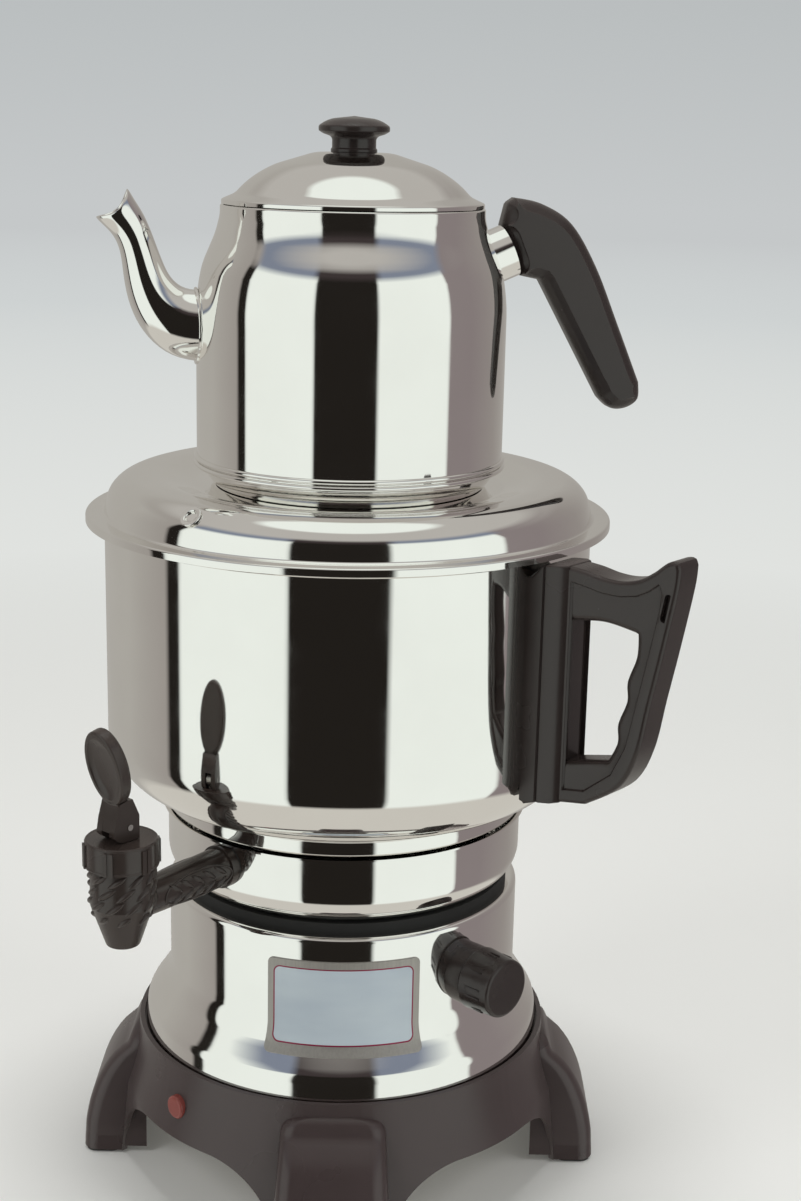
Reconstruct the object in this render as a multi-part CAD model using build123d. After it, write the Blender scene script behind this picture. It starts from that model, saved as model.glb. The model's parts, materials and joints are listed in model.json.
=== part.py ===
from build123d import *
from math import cos, radians, sin, sqrt
import os

# Two-tier electric samovar: a base with four feet, a heater housing, a water tank with
# a tap and a handle, a tank lid, and a teapot that stands on the lid.
# Millimetres. +Z is up, the origin is on the body's axis at floor level, and the front
# faces -Y. An azimuth is measured in degrees from the front, positive towards +X.

# ---- walls and gaps ----
STEEL = 1.0  # wall of the drawn steel vessels
THIN_STEEL = 0.8  # wall of small rolled rings
PLASTIC = 3.0  # wall of the base moulding
LIFT_GAP = 0.3  # gap under and beside what lifts, slides or tilts
SHAFT_GAP = 0.05  # radial clearance of a turning or sliding shaft

# ---- base moulding ----
BASE_TOP_Z = 77.5
BASE_TOP_R = 110.5
BASE_WAIST = (112.6, 61.0)  # radius and height where the skirt starts to flare
BASE_FLARE = (118.0, 43.0)
BASE_HEM_R = 122.5  # radius of the skirt carried down to the soles
DECK_Z = 75.0  # top of the inner deck that carries the housing
DECK_WALL = 4.0
DECK_BORE_R = 52.0
LIP_R = 108.0  # inside of the lip round the housing
ARCH_TOP_Z = 42.0
ARCH_HALF = 62.0  # half the width of each arch between two feet
ARCH_CORNER_R = 38.0
FOOT_AZIMUTHS = (0, 90, 180, 270)
ARCH_AZIMUTHS = (45, 135, 225, 315)
FOOT_TOP_Z = 65.0
FOOT_REACH = 140.0
FOOT_BULGE = 35.0  # how far the foot's front swells from its top to the floor
FOOT_TOP_WIDTH = 52.0
FOOT_WIDTH = 60.0
FOOT_BACK_R = 97.0
FOOT_CORNER_R = 8.0
PAD_PROUD = 1.6  # rubber that stands below the moulding
PAD_DEPTH = 9.0
PAD_BACK_R = FOOT_REACH - 20.0
PAD_CORNER_R = 5.0

# ---- bottom cover and its screws ----
COVER_R = 112.0
COVER_WALL = 1.5
COVER_Z = 44.5
BOSS_REACH = 90.0
BOSS_R = 5.0
SCREW_R = 1.75
SCREW_GRIP = 12.0

# ---- heater housing ----
HOUSING_R = 93.5
HOUSING_TOP_Z = 159.0
HOUSING_BORE_R = 58.0
SKIRT_R = 107.3
SKIRT_TOP_Z = 88.0
FLARE_Z = 106.0

# ---- seat ring and tie rods ----
SEAT_OUTER_R = 88.0
SEAT_INNER_R = 73.0
ROD_R = 3.0
ROD_REACH = 68.0
ROD_AZIMUTHS = (0, 120, 240)
ROD_TAIL = 12.0
NUT_HEIGHT = 5.0
NUT_FLATS = 10.0

# ---- tank ----
SUMP_Z = 165.0
SUMP_R = 93.0
SUMP_CORNER_R = 14.0  # rounding between the sump's floor and its wall
SUMP_TOP_Z = 202.0
SUMP_FLANGE_R = 96.5
STEP_R = 95.2  # short upright band of the tank above the seam
STEP_TOP_Z = 213.0
STEP_CORNER_R = 3.0
TANK_R = 125.0
TANK_TOP_Z = 354.4
SHOULDER_R = 30.0  # rounding between the tank's bottom and its wall
SHOULDER_Z = 217.0
RIM_BEAD_R = 2.2
RIM_BEAD_REACH = TANK_R + 1.2

# ---- heating element ----
ELEMENT_R = 4.0
ELEMENT_Z = 181.0
ELEMENT_HALF_X = 52.0
ELEMENT_BACK_Y = 30.0
ELEMENT_FRONT_Y = -45.0
ELEMENT_LEG_X = 14.0
ELEMENT_TAIL_Z = 146.0
BUSH_R = 6.5
BUSH_SHOULDER_R = 9.5
BUSH_SHOULDER = 3.0
GASKET = 1.5

# ---- power inlet ----
INLET_Z = 128.0
INLET_WIDTH = 50.0
INLET_HEIGHT = 28.0
INLET_PROUD = 4.5
INLET_BODY = (30.0, 23.0, 24.0)
SOCKET = (24.4, 16.8, 17.0)
PIN_SPACING = 7.0
INLET_SCREW_X = 20.0
INLET_SCREW_R = 1.5

# ---- thermostat and its knob ----
KNOB_AZIMUTH = 45.0
KNOB_Z = 130.0
THERMOSTAT = (34.0, 34.0, 22.0)
THERMOSTAT_FRONT_R = HOUSING_R - 5.5
THERMOSTAT_BUSH_R = 5.0
THERMOSTAT_SHAFT_R = 3.0
COLLAR_R = 15.5
COLLAR_DEPTH = 8.0
KNOB_R = 16.2
KNOB_FACE_R = 15.0
KNOB_DEPTH = 19.0
KNOB_FACE = 6.0  # material between the shaft's end and the knob's face
KNOB_ROUNDING = 2.0
KNOB_GRIPS = 8
GRIP_HEIGHT = 9.5  # middle of the grip ribs above the knob's back
GRIP_PROUD = 0.35
GRIP_DEPTH = 3.0
GRIP_WIDTH = 0.7
GRIP_SPREAD = 2.2
GRIP_LENGTH = 6.0
U_SPREAD = 4.6
U_LENGTH = 9.0

# ---- pilot lamp ----
LAMP_AZIMUTH = -46.0
LAMP_Z = 57.0
LAMP_R = 6.2
LAMP_BODY_R = 4.5
LAMP_BODY_LENGTH = 16.0

# ---- tank handle: distance out from the tank's wall and height, on an upright plane ----
HANDLE_AZIMUTH = 50.0
HANDLE_THICK = 18.0
HANDLE_BLOCK_THICK = 24.0
HANDLE_BLOCK_REACH = 17.0
HANDLE_BLOCK_SLOPE = 4.0  # how far the block takes to thin down to the plate
HANDLE_TOP = [
    (8.0, 352.0), (18.0, 353.4), (29.0, 352.2), (39.0, 350.6), (49.0, 350.6), (59.0, 353.2), (67.0, 358.2),
]
HANDLE_HORN = [(73.4, 363.4), (78.4, 364.2), (80.2, 361.0)]
HANDLE_OUTER = [(79.2, 350.0), (73.4, 320.0), (68.0, 294.5), (62.8, 269.5), (53.6, 251.5), (35.0, 238.6)]
HANDLE_FOOT = (2.0, 232.6)
HANDLE_SEAT_TOP = (2.0, 345.0)
HANDLE_ROOT = -6.0  # the block is made this far into the wall, then cut to the tank's curve
GAP_LEFT_TOP = (21.6, 326.4)
GAP_TOP_MID = (40.0, 329.0)
GAP_RIGHT_TOP = (58.4, 327.0)
GAP_WAVE = [(58.2, 316.0), (53.9, 303.5), (54.2, 294.0), (49.9, 282.0), (50.2, 273.0), (45.6, 263.0)]
GAP_LEFT_BOTTOM = (21.8, 257.5)
GAP_CORNER_R = 2.5
HANG_SLOT = (74.0, 342.5)  # blind slot in the rim below the horn
HANG_SLOT_SIZE = (14.0, 4.0)
HANG_SLOT_DEPTH = 3.5
HANG_SLOT_LEAN = 79.0
HANDLE_SCREW_Z = (250.0, 336.0)
HANDLE_SCREW_R = 2.5
HANDLE_WASHER_R = 7.0

# ---- tap ----
TAP_AZIMUTH = -38.0
TAP_REACH = 163.0
TAP_Z = 189.5
TAP_NOZZLE_Z = 171.0
TAP_NOZZLE_R = 8.0
TAP_BORE_R = 5.5
TAP_BARREL_R = 15.2
TAP_CONE_TOP_Z = 192.0
TAP_SEAT_Z = 186.0
TAP_CHAMBER_R = 11.0
TAP_NECK_R = 13.9
TAP_BARREL_TOP_Z = 211.5
BONNET_R = 17.4
BONNET_TOP_Z = 224.5
BONNET_PLATE = 3.5
BONNET_LUGS = 6
SHANK_R = 8.6
SHANK_ROOT_R = 10.0
SHANK_BORE_R = 5.0
SHANK_TAIL_R = 8.0
FLANGE_R = 11.0
FLANGE_DEPTH = 4.0
TAIL_INNER_R = 80.0
TAP_NUT_FLATS = 22.0
TAP_NUT_HEIGHT = 6.0

# ---- tap stem and lever ----
LEVER_AZIMUTH = -42.0
LEVER_TILT = 55.0  # degrees from closed to fully open
STEM_LIFT = 3.0  # rise of the stem at full tilt
PIN_HEIGHT = 6.8  # lever pin above the bonnet
PIN_R = 1.5
STEM_R = 2.4
STEM_EYE_R = 4.4
STEM_EYE_HALF = 2.0
STEM_PLATE_R = 9.0
STEM_PLATE = 1.5
CUP_R = 8.4
CUP_HEIGHT = 5.0
LEVER_WIDTH = 13.0
LEVER_SLOT = 5.4
FORK_OUTLINE = [(8.2, 4.5), (5.4, 13.5), (-1.8, 13.5), (-5.6, 5.0)]  # seen from the side, from the pin
LEVER_LEAN = 13.0  # how far the lever leans outward when it is closed
PADDLE_HALF_HEIGHT = 19.5
PADDLE_HALF_WIDTH = 12.5
PADDLE_CENTRE = 30.8
PADDLE_THICK = 7.0
PADDLE_RIM = 2.2
PADDLE_DISH = 2.0
SPRING_R = 6.5
SPRING_WIRE_R = 0.55
SPRING_TURNS = 5

# ---- tank lid ----
BRIM_R = TANK_R + 9.5
BRIM_Z = 357.5
BRIM_TURN = 3.9
DOME_R = TANK_R + 0.5
CREST_R = 98.0
CREST_Z = 376.4
SEAT_R = 80.0
SEAT_Z = 371.5
LID_BORE_R = 60.0
LID_COLLAR = 8.5
LOCATING_R = TANK_R - 1.8
LOCATING_DEPTH = 12.0
VENT_AZIMUTH = -36.0
VENT_SLOPE = 45.0
VENT_HOLE_R = 3.0

# ---- teapot ----
FOOT_RING_BOTTOM_R = 70.8
FOOT_RING_TOP_R = 75.5
BASE_DISC_FLOOR = 2.0
BASE_DISC_WALL = 3.0
POT_BOTTOM_Z = 381.0
POT_R = 78.0
POT_SHOULDER_Z = 468.5
POT_RIM_R = POT_R - 12.0
POT_RIM_Z = 511.0
POT_MOUTH_R = POT_R - 16.0
POT_CURVE = [(POT_R - 3.4, 482.5), (POT_R - 9.8, 497.2)]  # shoulder, down to the straight rim
POT_NECK_Z = 506.0
POT_CORNERS = [2.5, 85.0, 38.0, 38.0, 16.0, 1.2]
POT_BEAD_R = 1.4
SPOUT_AZIMUTH = -80.0
SPOUT_WALL = 1.2
SPOUT_SECTIONS = [  # radius, height, height of section, width of section, rise in degrees
    (68.0, 451.2, 36.6, 31.0, 0),
    (84.9, 451.6, 35.0, 29.5, 9),
    (94.2, 457.7, 32.4, 27.0, 21),
    (100.2, 465.8, 28.6, 24.2, 35),
    (103.6, 475.6, 23.8, 21.0, 51),
    (105.6, 486.0, 19.0, 18.0, 64),
    (107.6, 494.0, 17.4, 16.8, 64),
    (111.2, 501.4, 18.4, 17.0, 60),
    (117.6, 508.8, 20.6, 18.4, 56),
    (121.6, 514.6, 23.0, 20.0, 55),
]
BEAK = [(111.6, 516.4), (114.4, 509.6), (119.4, 505.8), (129.2, 503.2)]  # where the mouth is cut off
BEAK_CLEAR = 25.0
POT_HANDLE_AZIMUTH = 103.0
POT_HANDLE_THICK = 20.0
FERRULE_R = 13.5
FERRULE_WALL = 1.2
FERRULE_TILT = 22.8
FERRULE_END = (81.2, 489.8)
FERRULE_LENGTH = 16.0
SPIGOT_DEPTH = 6.0
POT_HANDLE_ROUNDING = 2.0
THUMB_REST = (78.6, 513.6)  # on an upright plane: radius and height
GRIP_BACK = [(82.5, 516.2), (97.0, 513.2), (113.0, 503.5), (127.0, 482.0), (140.0, 453.0), (153.2, 422.5)]
GRIP_END = [(153.2, 413.5), (146.5, 408.8), (138.5, 408.8), (131.8, 414.4)]
GRIP_FRONT = (97.2, 475.2)
POT_SCREW_R = 2.0

# ---- teapot lid and knob ----
POT_LID_R = POT_RIM_R - 0.6
POT_LID_EDGE = 2.3
POT_LID_TOP_Z = 536.8
POT_LID_CURVE = [(POT_LID_R - 6.8, 516.3), (POT_LID_R - 17.9, 528.0), (18.9, POT_LID_TOP_Z)]
POT_LID_CORNERS = [1.1, 8.0, 45.0, 20.0]
POT_LID_SKIRT_R = POT_MOUTH_R - 1.4
POT_LID_SKIRT = 9.0
POT_LID_JOIN = 3.6  # height above the rim where the skirt meets the dome
KNOB_HEIGHT = 17.4
KNOB_PROFILE = [  # radius and height above the lid, from the foot to the crown
    (0, 0), (15.7, 0), (15.7, 1.6), (11.3, 3.4), (11.3, 8.0), (15.2, 9.2), (17.6, 10.6), (17.6, 13.2),
    (0, KNOB_HEIGHT),
]
KNOB_CORNERS = [0.4, 0.8, 1.2, 1.6, 0.6, 1.0, 1.4]
KNOB_SCREW_R = 2.0


# ---------------------------------------------------------------- helpers


def outward(azimuth, reach=0.0, height=0.0):
    """Plane that faces straight out from the axis. Its x runs round the body and its y runs up."""
    a = radians(azimuth)
    place = (reach * sin(a), -reach * cos(a), height)
    return Plane(origin=place, x_dir=(cos(a), sin(a), 0), z_dir=(sin(a), -cos(a), 0))


def upright(azimuth, centre=(0, 0, 0), lean=0.0):
    """Upright plane along an azimuth. Its x runs outward and its y runs up, leaning outward."""
    a, tip = radians(azimuth), radians(lean)
    x_dir = (cos(tip) * sin(a), -cos(tip) * cos(a), -sin(tip))
    return Plane(origin=centre, x_dir=x_dir, z_dir=(-cos(a), -sin(a), 0))


def turned(section):
    """Solid turned about the axis from a half-section of radius and height."""
    return revolve(Plane.XZ * section, Axis.Z, 360)


def sheet(points, corners, wall, side):
    """Half-section of a sheet of even wall that follows a path with rounded corners."""
    path = FilletPolyline(*points, radius=corners)
    return make_face(offset(path, amount=wall, side=side))


def filled(*points):
    return make_face(Polyline(*points, close=True))


def bored(plane, radius, start, end):
    """Cylinder along a plane's normal from one distance to another, to cut or to add."""
    return plane * Pos(0, 0, (start + end) / 2) * Cylinder(radius, end - start)


def column(radius, bottom, top):
    return Pos(0, 0, (bottom + top) / 2) * Cylinder(radius, top - bottom)


def pan_screw(shank_r, length):
    """Pan-head screw that points down from the underside of its head at the origin."""
    head_r, head_top = shank_r * 1.9, shank_r * 1.1
    brim = head_top * 0.55
    head = turned(filled((0, 0), (head_r, 0), (head_r, brim), (head_r * 0.7, head_top), (0, head_top)))
    slot = Box(head_r, shank_r * 0.4, shank_r * 0.5)
    return head + column(shank_r, -length, 0) - Pos(0, 0, shank_r * 0.9) * (slot + Rot(0, 0, 90) * slot)


def hex_nut(flats, height, bore_r):
    return extrude(RegularPolygon(flats / 2, 6, major_radius=False) - Circle(bore_r), amount=height)


def face_edges(plate, half):
    """The edges round both faces of a plate that was extruded half its thickness each way."""
    return plate.edges().filter_by(lambda edge: abs(abs(edge.center().Z) - half) < 0.01)


def group(pieces):
    """Several separate solids that share one node."""
    return Compound(children=list(pieces))


# ---------------------------------------------------------------- base


def skirt_form(inset, bottom, top):
    """The base's round skirt as a filled form, shrunk by inset."""
    crown = (BASE_TOP_R - inset, BASE_TOP_Z)
    waist = (BASE_WAIST[0] - inset, BASE_WAIST[1])
    flare = (BASE_FLARE[0] - inset, BASE_FLARE[1])
    hem = (BASE_HEM_R - inset, bottom)
    wall = ThreePointArc(crown, waist, flare) + Line(flare, hem)
    edges = wall + Polyline(hem, (0, bottom), (0, BASE_TOP_Z), crown)
    form = turned(make_face(edges))
    return form - column(BASE_HEM_R * 2, top, BASE_TOP_Z + 1) if top < BASE_TOP_Z else form


def foot_form(inset, bottom):
    """One foot at the front, lofted through rounded plan sections that shrink towards its top."""
    levels = [bottom] + [FOOT_TOP_Z * share for share in (0.25, 0.5, 0.7, 0.85, 0.95)]
    plans = []
    for level in levels:
        share = max(level, 0) / FOOT_TOP_Z
        reach = FOOT_REACH - FOOT_BULGE * (1 - sqrt(1 - share * share)) - inset
        width = FOOT_WIDTH + (FOOT_TOP_WIDTH - FOOT_WIDTH) * share - 2 * inset
        depth = reach - FOOT_BACK_R
        corner = min(FOOT_CORNER_R - inset, depth * 0.4)
        plan = Pos(0, -(FOOT_BACK_R + reach) / 2) * RectangleRounded(width, depth, corner)
        plans.append(Plane.XY.offset(level if inset == 0 else level - inset) * plan)
    return loft(plans)


def base_moulding():
    outer = skirt_form(0, PAD_PROUD, BASE_TOP_Z)
    foot = foot_form(0, PAD_PROUD)
    for azimuth in FOOT_AZIMUTHS:
        outer += Rot(0, 0, azimuth) * foot
    cavity = skirt_form(PLASTIC, -1, DECK_Z - DECK_WALL)
    hollow_foot = foot_form(PLASTIC, PAD_PROUD)
    for azimuth in FOOT_AZIMUTHS:
        cavity += Rot(0, 0, azimuth) * hollow_foot
    body = outer - cavity
    body -= column(LIP_R, DECK_Z, BASE_TOP_Z + 1)
    body -= column(DECK_BORE_R, DECK_Z - DECK_WALL - 1, DECK_Z + 1)
    low_left, low_right = (-ARCH_HALF, -1), (ARCH_HALF, -1)
    high_left, high_right = (-ARCH_HALF, ARCH_TOP_Z), (ARCH_HALF, ARCH_TOP_Z)
    arch = FilletPolyline(low_left, high_left, high_right, low_right, radius=ARCH_CORNER_R)
    opening = make_face(arch + Line(low_right, low_left))
    for azimuth in ARCH_AZIMUTHS:
        body -= extrude(outward(azimuth, BOSS_REACH + BOSS_R) * opening, amount=FOOT_REACH - BOSS_REACH)
    for azimuth in ARCH_AZIMUTHS:
        place = outward(azimuth, BOSS_REACH).origin
        body += Pos(place.X, place.Y, 0) * column(BOSS_R, COVER_Z + COVER_WALL, DECK_Z - DECK_WALL + 1)
        body -= Pos(place.X, place.Y, 0) * column(SCREW_R, 0, COVER_Z + COVER_WALL + SCREW_GRIP + 1)
    for azimuth in ROD_AZIMUTHS:
        place = outward(azimuth, ROD_REACH).origin
        body -= Pos(place.X, place.Y, 0) * column(ROD_R + SHAFT_GAP, DECK_Z - DECK_WALL - 1, DECK_Z + 1)
    body -= bored(outward(LAMP_AZIMUTH, 0, LAMP_Z), LAMP_BODY_R, BOSS_REACH, FOOT_REACH)
    return body


def foot_pads():
    """Rubber blocks that fill the bottom of each hollow foot and stand a little proud."""
    inner = FOOT_REACH - PLASTIC
    block = RectangleRounded(FOOT_WIDTH - 2 * PLASTIC - 2.5, inner - PAD_BACK_R - 1.0, PAD_CORNER_R + 2)
    sole = RectangleRounded(FOOT_WIDTH - PLASTIC, inner + 1.5 - PAD_BACK_R, PAD_CORNER_R)
    block_place = Pos(0, -(inner + PAD_BACK_R - 1.0) / 2, PAD_PROUD)
    sole_place = Pos(0, -(inner + 1.5 + PAD_BACK_R) / 2)
    pad = block_place * extrude(block, amount=PAD_DEPTH) + sole_place * extrude(sole, amount=PAD_PROUD)
    return group(Rot(0, 0, azimuth) * pad for azimuth in FOOT_AZIMUTHS)


def bottom_cover():
    """Vented steel disc under the base, held by four screws."""
    disc = column(COVER_R, COVER_Z, COVER_Z + COVER_WALL)
    slot = Pos(0, 0, COVER_Z) * extrude(SlotOverall(30, 4), amount=COVER_WALL * 3, both=True)
    for row in range(-3, 4):
        disc -= Pos(-22, row * 10, 0) * slot
        disc -= Pos(22, row * 10, 0) * slot
    for azimuth in ARCH_AZIMUTHS:
        place = outward(azimuth, BOSS_REACH).origin
        disc -= Pos(place.X, place.Y, 0) * column(SCREW_R + SHAFT_GAP, COVER_Z - 1, COVER_Z + COVER_WALL + 1)
    return disc


def cover_screws():
    screw = Rot(180, 0, 0) * pan_screw(SCREW_R, COVER_WALL + SCREW_GRIP)
    places = [outward(azimuth, BOSS_REACH, COVER_Z).origin for azimuth in ARCH_AZIMUTHS]
    return group(Pos(*place) * screw for place in places)


# ---------------------------------------------------------------- heater housing


def heater_housing():
    wall = sheet(
        [(HOUSING_BORE_R, HOUSING_TOP_Z), (HOUSING_R, HOUSING_TOP_Z), (HOUSING_R, FLARE_Z),
         (SKIRT_R - 1.3, SKIRT_TOP_Z), (SKIRT_R, DECK_Z)],
        [3, 20, 10], STEEL, Side.RIGHT,
    )
    shell = turned(wall)
    shell -= column(SKIRT_R + PLASTIC, 0, DECK_Z)
    shell -= bored(outward(KNOB_AZIMUTH, 0, KNOB_Z), THERMOSTAT_BUSH_R, THERMOSTAT_FRONT_R - 2, SKIRT_R + 5)
    cutout = Box(INLET_BODY[0], 30, INLET_BODY[1])
    shell -= Pos(0, HOUSING_R, INLET_Z) * cutout
    for side in (-1, 1):
        screw_line = outward(180, 0, INLET_Z) * Pos(side * INLET_SCREW_X, 0, 0)
        shell -= bored(screw_line, INLET_SCREW_R, HOUSING_R - 15, HOUSING_R + 5)
    for azimuth in ROD_AZIMUTHS:
        place = outward(azimuth, ROD_REACH).origin
        shell -= Pos(place.X, place.Y, 0) * column(ROD_R + SHAFT_GAP, HOUSING_TOP_Z - 3, HOUSING_TOP_Z + 1)
    return shell


def seat_ring():
    """Heat-proof ring that spaces the tank off the housing."""
    return column(SEAT_OUTER_R, HOUSING_TOP_Z, SUMP_Z) - column(SEAT_INNER_R, HOUSING_TOP_Z - 1, SUMP_Z + 1)


def tie_rods():
    """Studs welded under the tank that draw tank, housing and base together."""
    places = [outward(azimuth, ROD_REACH).origin for azimuth in ROD_AZIMUTHS]
    bottom = DECK_Z - DECK_WALL - ROD_TAIL
    return group(Pos(place.X, place.Y, 0) * column(ROD_R, bottom, SUMP_Z) for place in places)


def tie_nuts():
    nut = hex_nut(NUT_FLATS, NUT_HEIGHT, ROD_R)
    places = [outward(azimuth, ROD_REACH).origin for azimuth in ROD_AZIMUTHS]
    return group(Pos(place.X, place.Y, DECK_Z - DECK_WALL - NUT_HEIGHT) * nut for place in places)


def power_inlet():
    """Moulded appliance inlet with a curved back that seats on the housing."""
    back = outward(180, 0, INLET_Z)
    face_r = HOUSING_R + INLET_PROUD
    plate = RectangleRounded(INLET_WIDTH, INLET_HEIGHT, 4)
    frame = extrude(back.offset(HOUSING_R - 6) * plate, amount=6 + INLET_PROUD)
    frame -= column(HOUSING_R, 0, SUMP_Z)
    body = extrude(back.offset(face_r - INLET_BODY[2]) * Rectangle(*INLET_BODY[:2]), amount=INLET_BODY[2])
    mouth = RectangleRounded(SOCKET[0], SOCKET[1], 3)
    inlet = frame + body - extrude(back.offset(face_r - SOCKET[2]) * mouth, amount=SOCKET[2] + 1)
    for side in (-1, 1):
        inlet -= bored(back * Pos(side * INLET_SCREW_X, 0, 0), INLET_SCREW_R, HOUSING_R - 12, face_r + 1)
    return inlet


def inlet_pins():
    back = outward(180, 0, INLET_Z)
    floor_r = HOUSING_R + INLET_PROUD - SOCKET[2]
    blade = extrude(back.offset(floor_r) * Rectangle(2, 4), amount=SOCKET[2] - 2)
    places = [(-PIN_SPACING, -1.5), (0, 2.5), (PIN_SPACING, -1.5)]
    return group(blade.moved(Location(back.x_dir * x + Vector(0, 0, y))) for x, y in places)


def inlet_screws():
    back = outward(180, HOUSING_R + INLET_PROUD, INLET_Z)
    return group(back * Pos(side * INLET_SCREW_X, 0, 0) * pan_screw(INLET_SCREW_R, 14) for side in (-1, 1))


# ---------------------------------------------------------------- thermostat and lamp


def thermostat_body():
    plane = outward(KNOB_AZIMUTH, 0, KNOB_Z)
    case = plane.offset(THERMOSTAT_FRONT_R - THERMOSTAT[2] / 2) * Box(*THERMOSTAT)
    case = fillet(case.edges().filter_by(lambda e: e.length > 20), 2)
    bush = bored(plane, THERMOSTAT_BUSH_R, THERMOSTAT_FRONT_R, HOUSING_R + 5)
    bore = bored(plane, THERMOSTAT_SHAFT_R + SHAFT_GAP, THERMOSTAT_FRONT_R - 12, HOUSING_R + 6)
    return case + bush - bore


def thermostat_nut():
    """Nut that clamps the thermostat's bush to the housing, hidden inside the collar."""
    nut = hex_nut(14, 8, THERMOSTAT_BUSH_R)
    return outward(KNOB_AZIMUTH, HOUSING_R - 4.5, KNOB_Z) * nut - column(HOUSING_R, 0, SUMP_Z)


def thermostat_collar():
    """Fixed knurled collar between the housing and the knob."""
    plane = outward(KNOB_AZIMUTH, 0, KNOB_Z)
    front = HOUSING_R + COLLAR_DEPTH
    collar = bored(plane, COLLAR_R, HOUSING_R - 4, front) - bored(plane, 8.4, HOUSING_R - 5, front - 2.5)
    collar -= bored(plane, THERMOSTAT_SHAFT_R + 1, HOUSING_R, front + 1)
    return collar - column(HOUSING_R, 0, SUMP_Z)


def thermostat_shaft():
    plane = outward(KNOB_AZIMUTH, 0, KNOB_Z)
    end = HOUSING_R + COLLAR_DEPTH + LIFT_GAP + KNOB_DEPTH - KNOB_FACE
    return bored(plane, THERMOSTAT_SHAFT_R, THERMOSTAT_FRONT_R - 11.5, end)


def thermostat_knob():
    """Tapered knob with pairs of grip ribs round its side, one of them a wider U as its pointer."""
    back_r = HOUSING_R + COLLAR_DEPTH + LIFT_GAP
    plane = outward(KNOB_AZIMUTH, back_r, KNOB_Z)
    side = [(0, 0), (KNOB_R, 0), (KNOB_FACE_R, KNOB_DEPTH), (0, KNOB_DEPTH)]
    knob = turned(filled(*side))
    knob = fillet(knob.edges().group_by(Axis.Z)[-1], KNOB_ROUNDING)
    knob = fillet(knob.edges().group_by(Axis.Z)[0], 0.8)
    taper = (KNOB_R - KNOB_FACE_R) / KNOB_DEPTH
    reach = KNOB_R - taper * GRIP_HEIGHT + GRIP_PROUD
    for index in range(KNOB_GRIPS):
        turn = Rot(0, 0, index * 360 / KNOB_GRIPS)
        wide = index == KNOB_GRIPS // 2
        spread, length = (U_SPREAD, U_LENGTH) if wide else (GRIP_SPREAD, GRIP_LENGTH)
        rib = Pos(reach - GRIP_DEPTH / 2, 0, GRIP_HEIGHT) * Box(GRIP_DEPTH, GRIP_WIDTH, length)
        for offset_y in (-spread / 2, spread / 2):
            knob += turn * Pos(0, offset_y, 0) * rib
        if wide:
            bridge = Box(GRIP_DEPTH, spread + GRIP_WIDTH, GRIP_WIDTH)
            knob += turn * Pos(reach - GRIP_DEPTH / 2, 0, GRIP_HEIGHT - length / 2) * bridge
    return plane * (knob - column(THERMOSTAT_SHAFT_R, -1, KNOB_DEPTH - KNOB_FACE))


def pilot_lamp_lens():
    plane = outward(LAMP_AZIMUTH, 0, LAMP_Z)
    dome = bored(plane, LAMP_R, BASE_TOP_R - 2, BASE_WAIST[0] + 3.4)
    dome = fillet(dome.faces().sort_by(lambda f: f.center().length)[-1].edges(), 1.6)
    return dome - skirt_form(0, PAD_PROUD, BASE_TOP_Z)


def pilot_lamp_body():
    plane = outward(LAMP_AZIMUTH, 0, LAMP_Z)
    return bored(plane, LAMP_BODY_R, BASE_WAIST[0] - LAMP_BODY_LENGTH, BASE_WAIST[0])


# ---------------------------------------------------------------- tank


def tank_sump():
    """Narrow lower cup of the tank that carries the tap and the element."""
    wall = sheet(
        [(0, SUMP_Z), (SUMP_R, SUMP_Z), (SUMP_R, SUMP_TOP_Z), (SUMP_FLANGE_R, SUMP_TOP_Z)],
        [SUMP_CORNER_R, 1.5], STEEL, Side.LEFT,
    )
    cup = turned(wall)
    cup -= bored(outward(TAP_AZIMUTH, 0, TAP_Z), SHANK_TAIL_R, TAIL_INNER_R, SUMP_R + 5)
    for side in (-1, 1):
        cup -= Pos(side * ELEMENT_LEG_X, ELEMENT_BACK_Y, 0) * column(BUSH_R, SUMP_Z - 1, SUMP_Z + STEEL + 1)
    return cup


def tank_shell():
    wall = sheet(
        [(SUMP_R - STEEL, SUMP_TOP_Z + STEEL), (STEP_R, SUMP_TOP_Z + STEEL), (STEP_R, STEP_TOP_Z),
         (TANK_R, SHOULDER_Z), (TANK_R, TANK_TOP_Z)],
        [1.5, STEP_CORNER_R, SHOULDER_R], STEEL, Side.LEFT,
    )
    shell = turned(wall) + Pos(0, 0, TANK_TOP_Z - 1.2) * Torus(RIM_BEAD_REACH, RIM_BEAD_R)
    for height in HANDLE_SCREW_Z:
        shell -= bored(outward(HANDLE_AZIMUTH, 0, height), HANDLE_SCREW_R, TANK_R - 5, TANK_R + 3)
    return shell


def heating_element():
    """Immersed sheathed element: a flat loop with two legs through the sump's floor."""
    x, y = ELEMENT_LEG_X, ELEMENT_BACK_Y
    wide, front = ELEMENT_HALF_X, ELEMENT_FRONT_Y
    points = [
        (-x, y, ELEMENT_TAIL_Z), (-x, y, ELEMENT_Z), (-wide, y, ELEMENT_Z), (-wide, front, ELEMENT_Z),
        (wide, front, ELEMENT_Z), (wide, y, ELEMENT_Z), (x, y, ELEMENT_Z), (x, y, ELEMENT_TAIL_Z),
    ]
    path = FilletPolyline(*points, radius=[9, 16, 16, 16, 16, 9])
    start = Plane(origin=points[0], z_dir=(0, 0, 1))
    return sweep(start * Circle(ELEMENT_R), path=path)


def element_bushes():
    bush = column(BUSH_R, SUMP_Z - 9, SUMP_Z + STEEL + GASKET + BUSH_SHOULDER)
    bush += column(BUSH_SHOULDER_R, SUMP_Z + STEEL + GASKET, SUMP_Z + STEEL + GASKET + BUSH_SHOULDER)
    bush -= column(ELEMENT_R, SUMP_Z - 10, SUMP_Z + 10)
    return group(Pos(side * ELEMENT_LEG_X, ELEMENT_BACK_Y, 0) * bush for side in (-1, 1))


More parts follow.
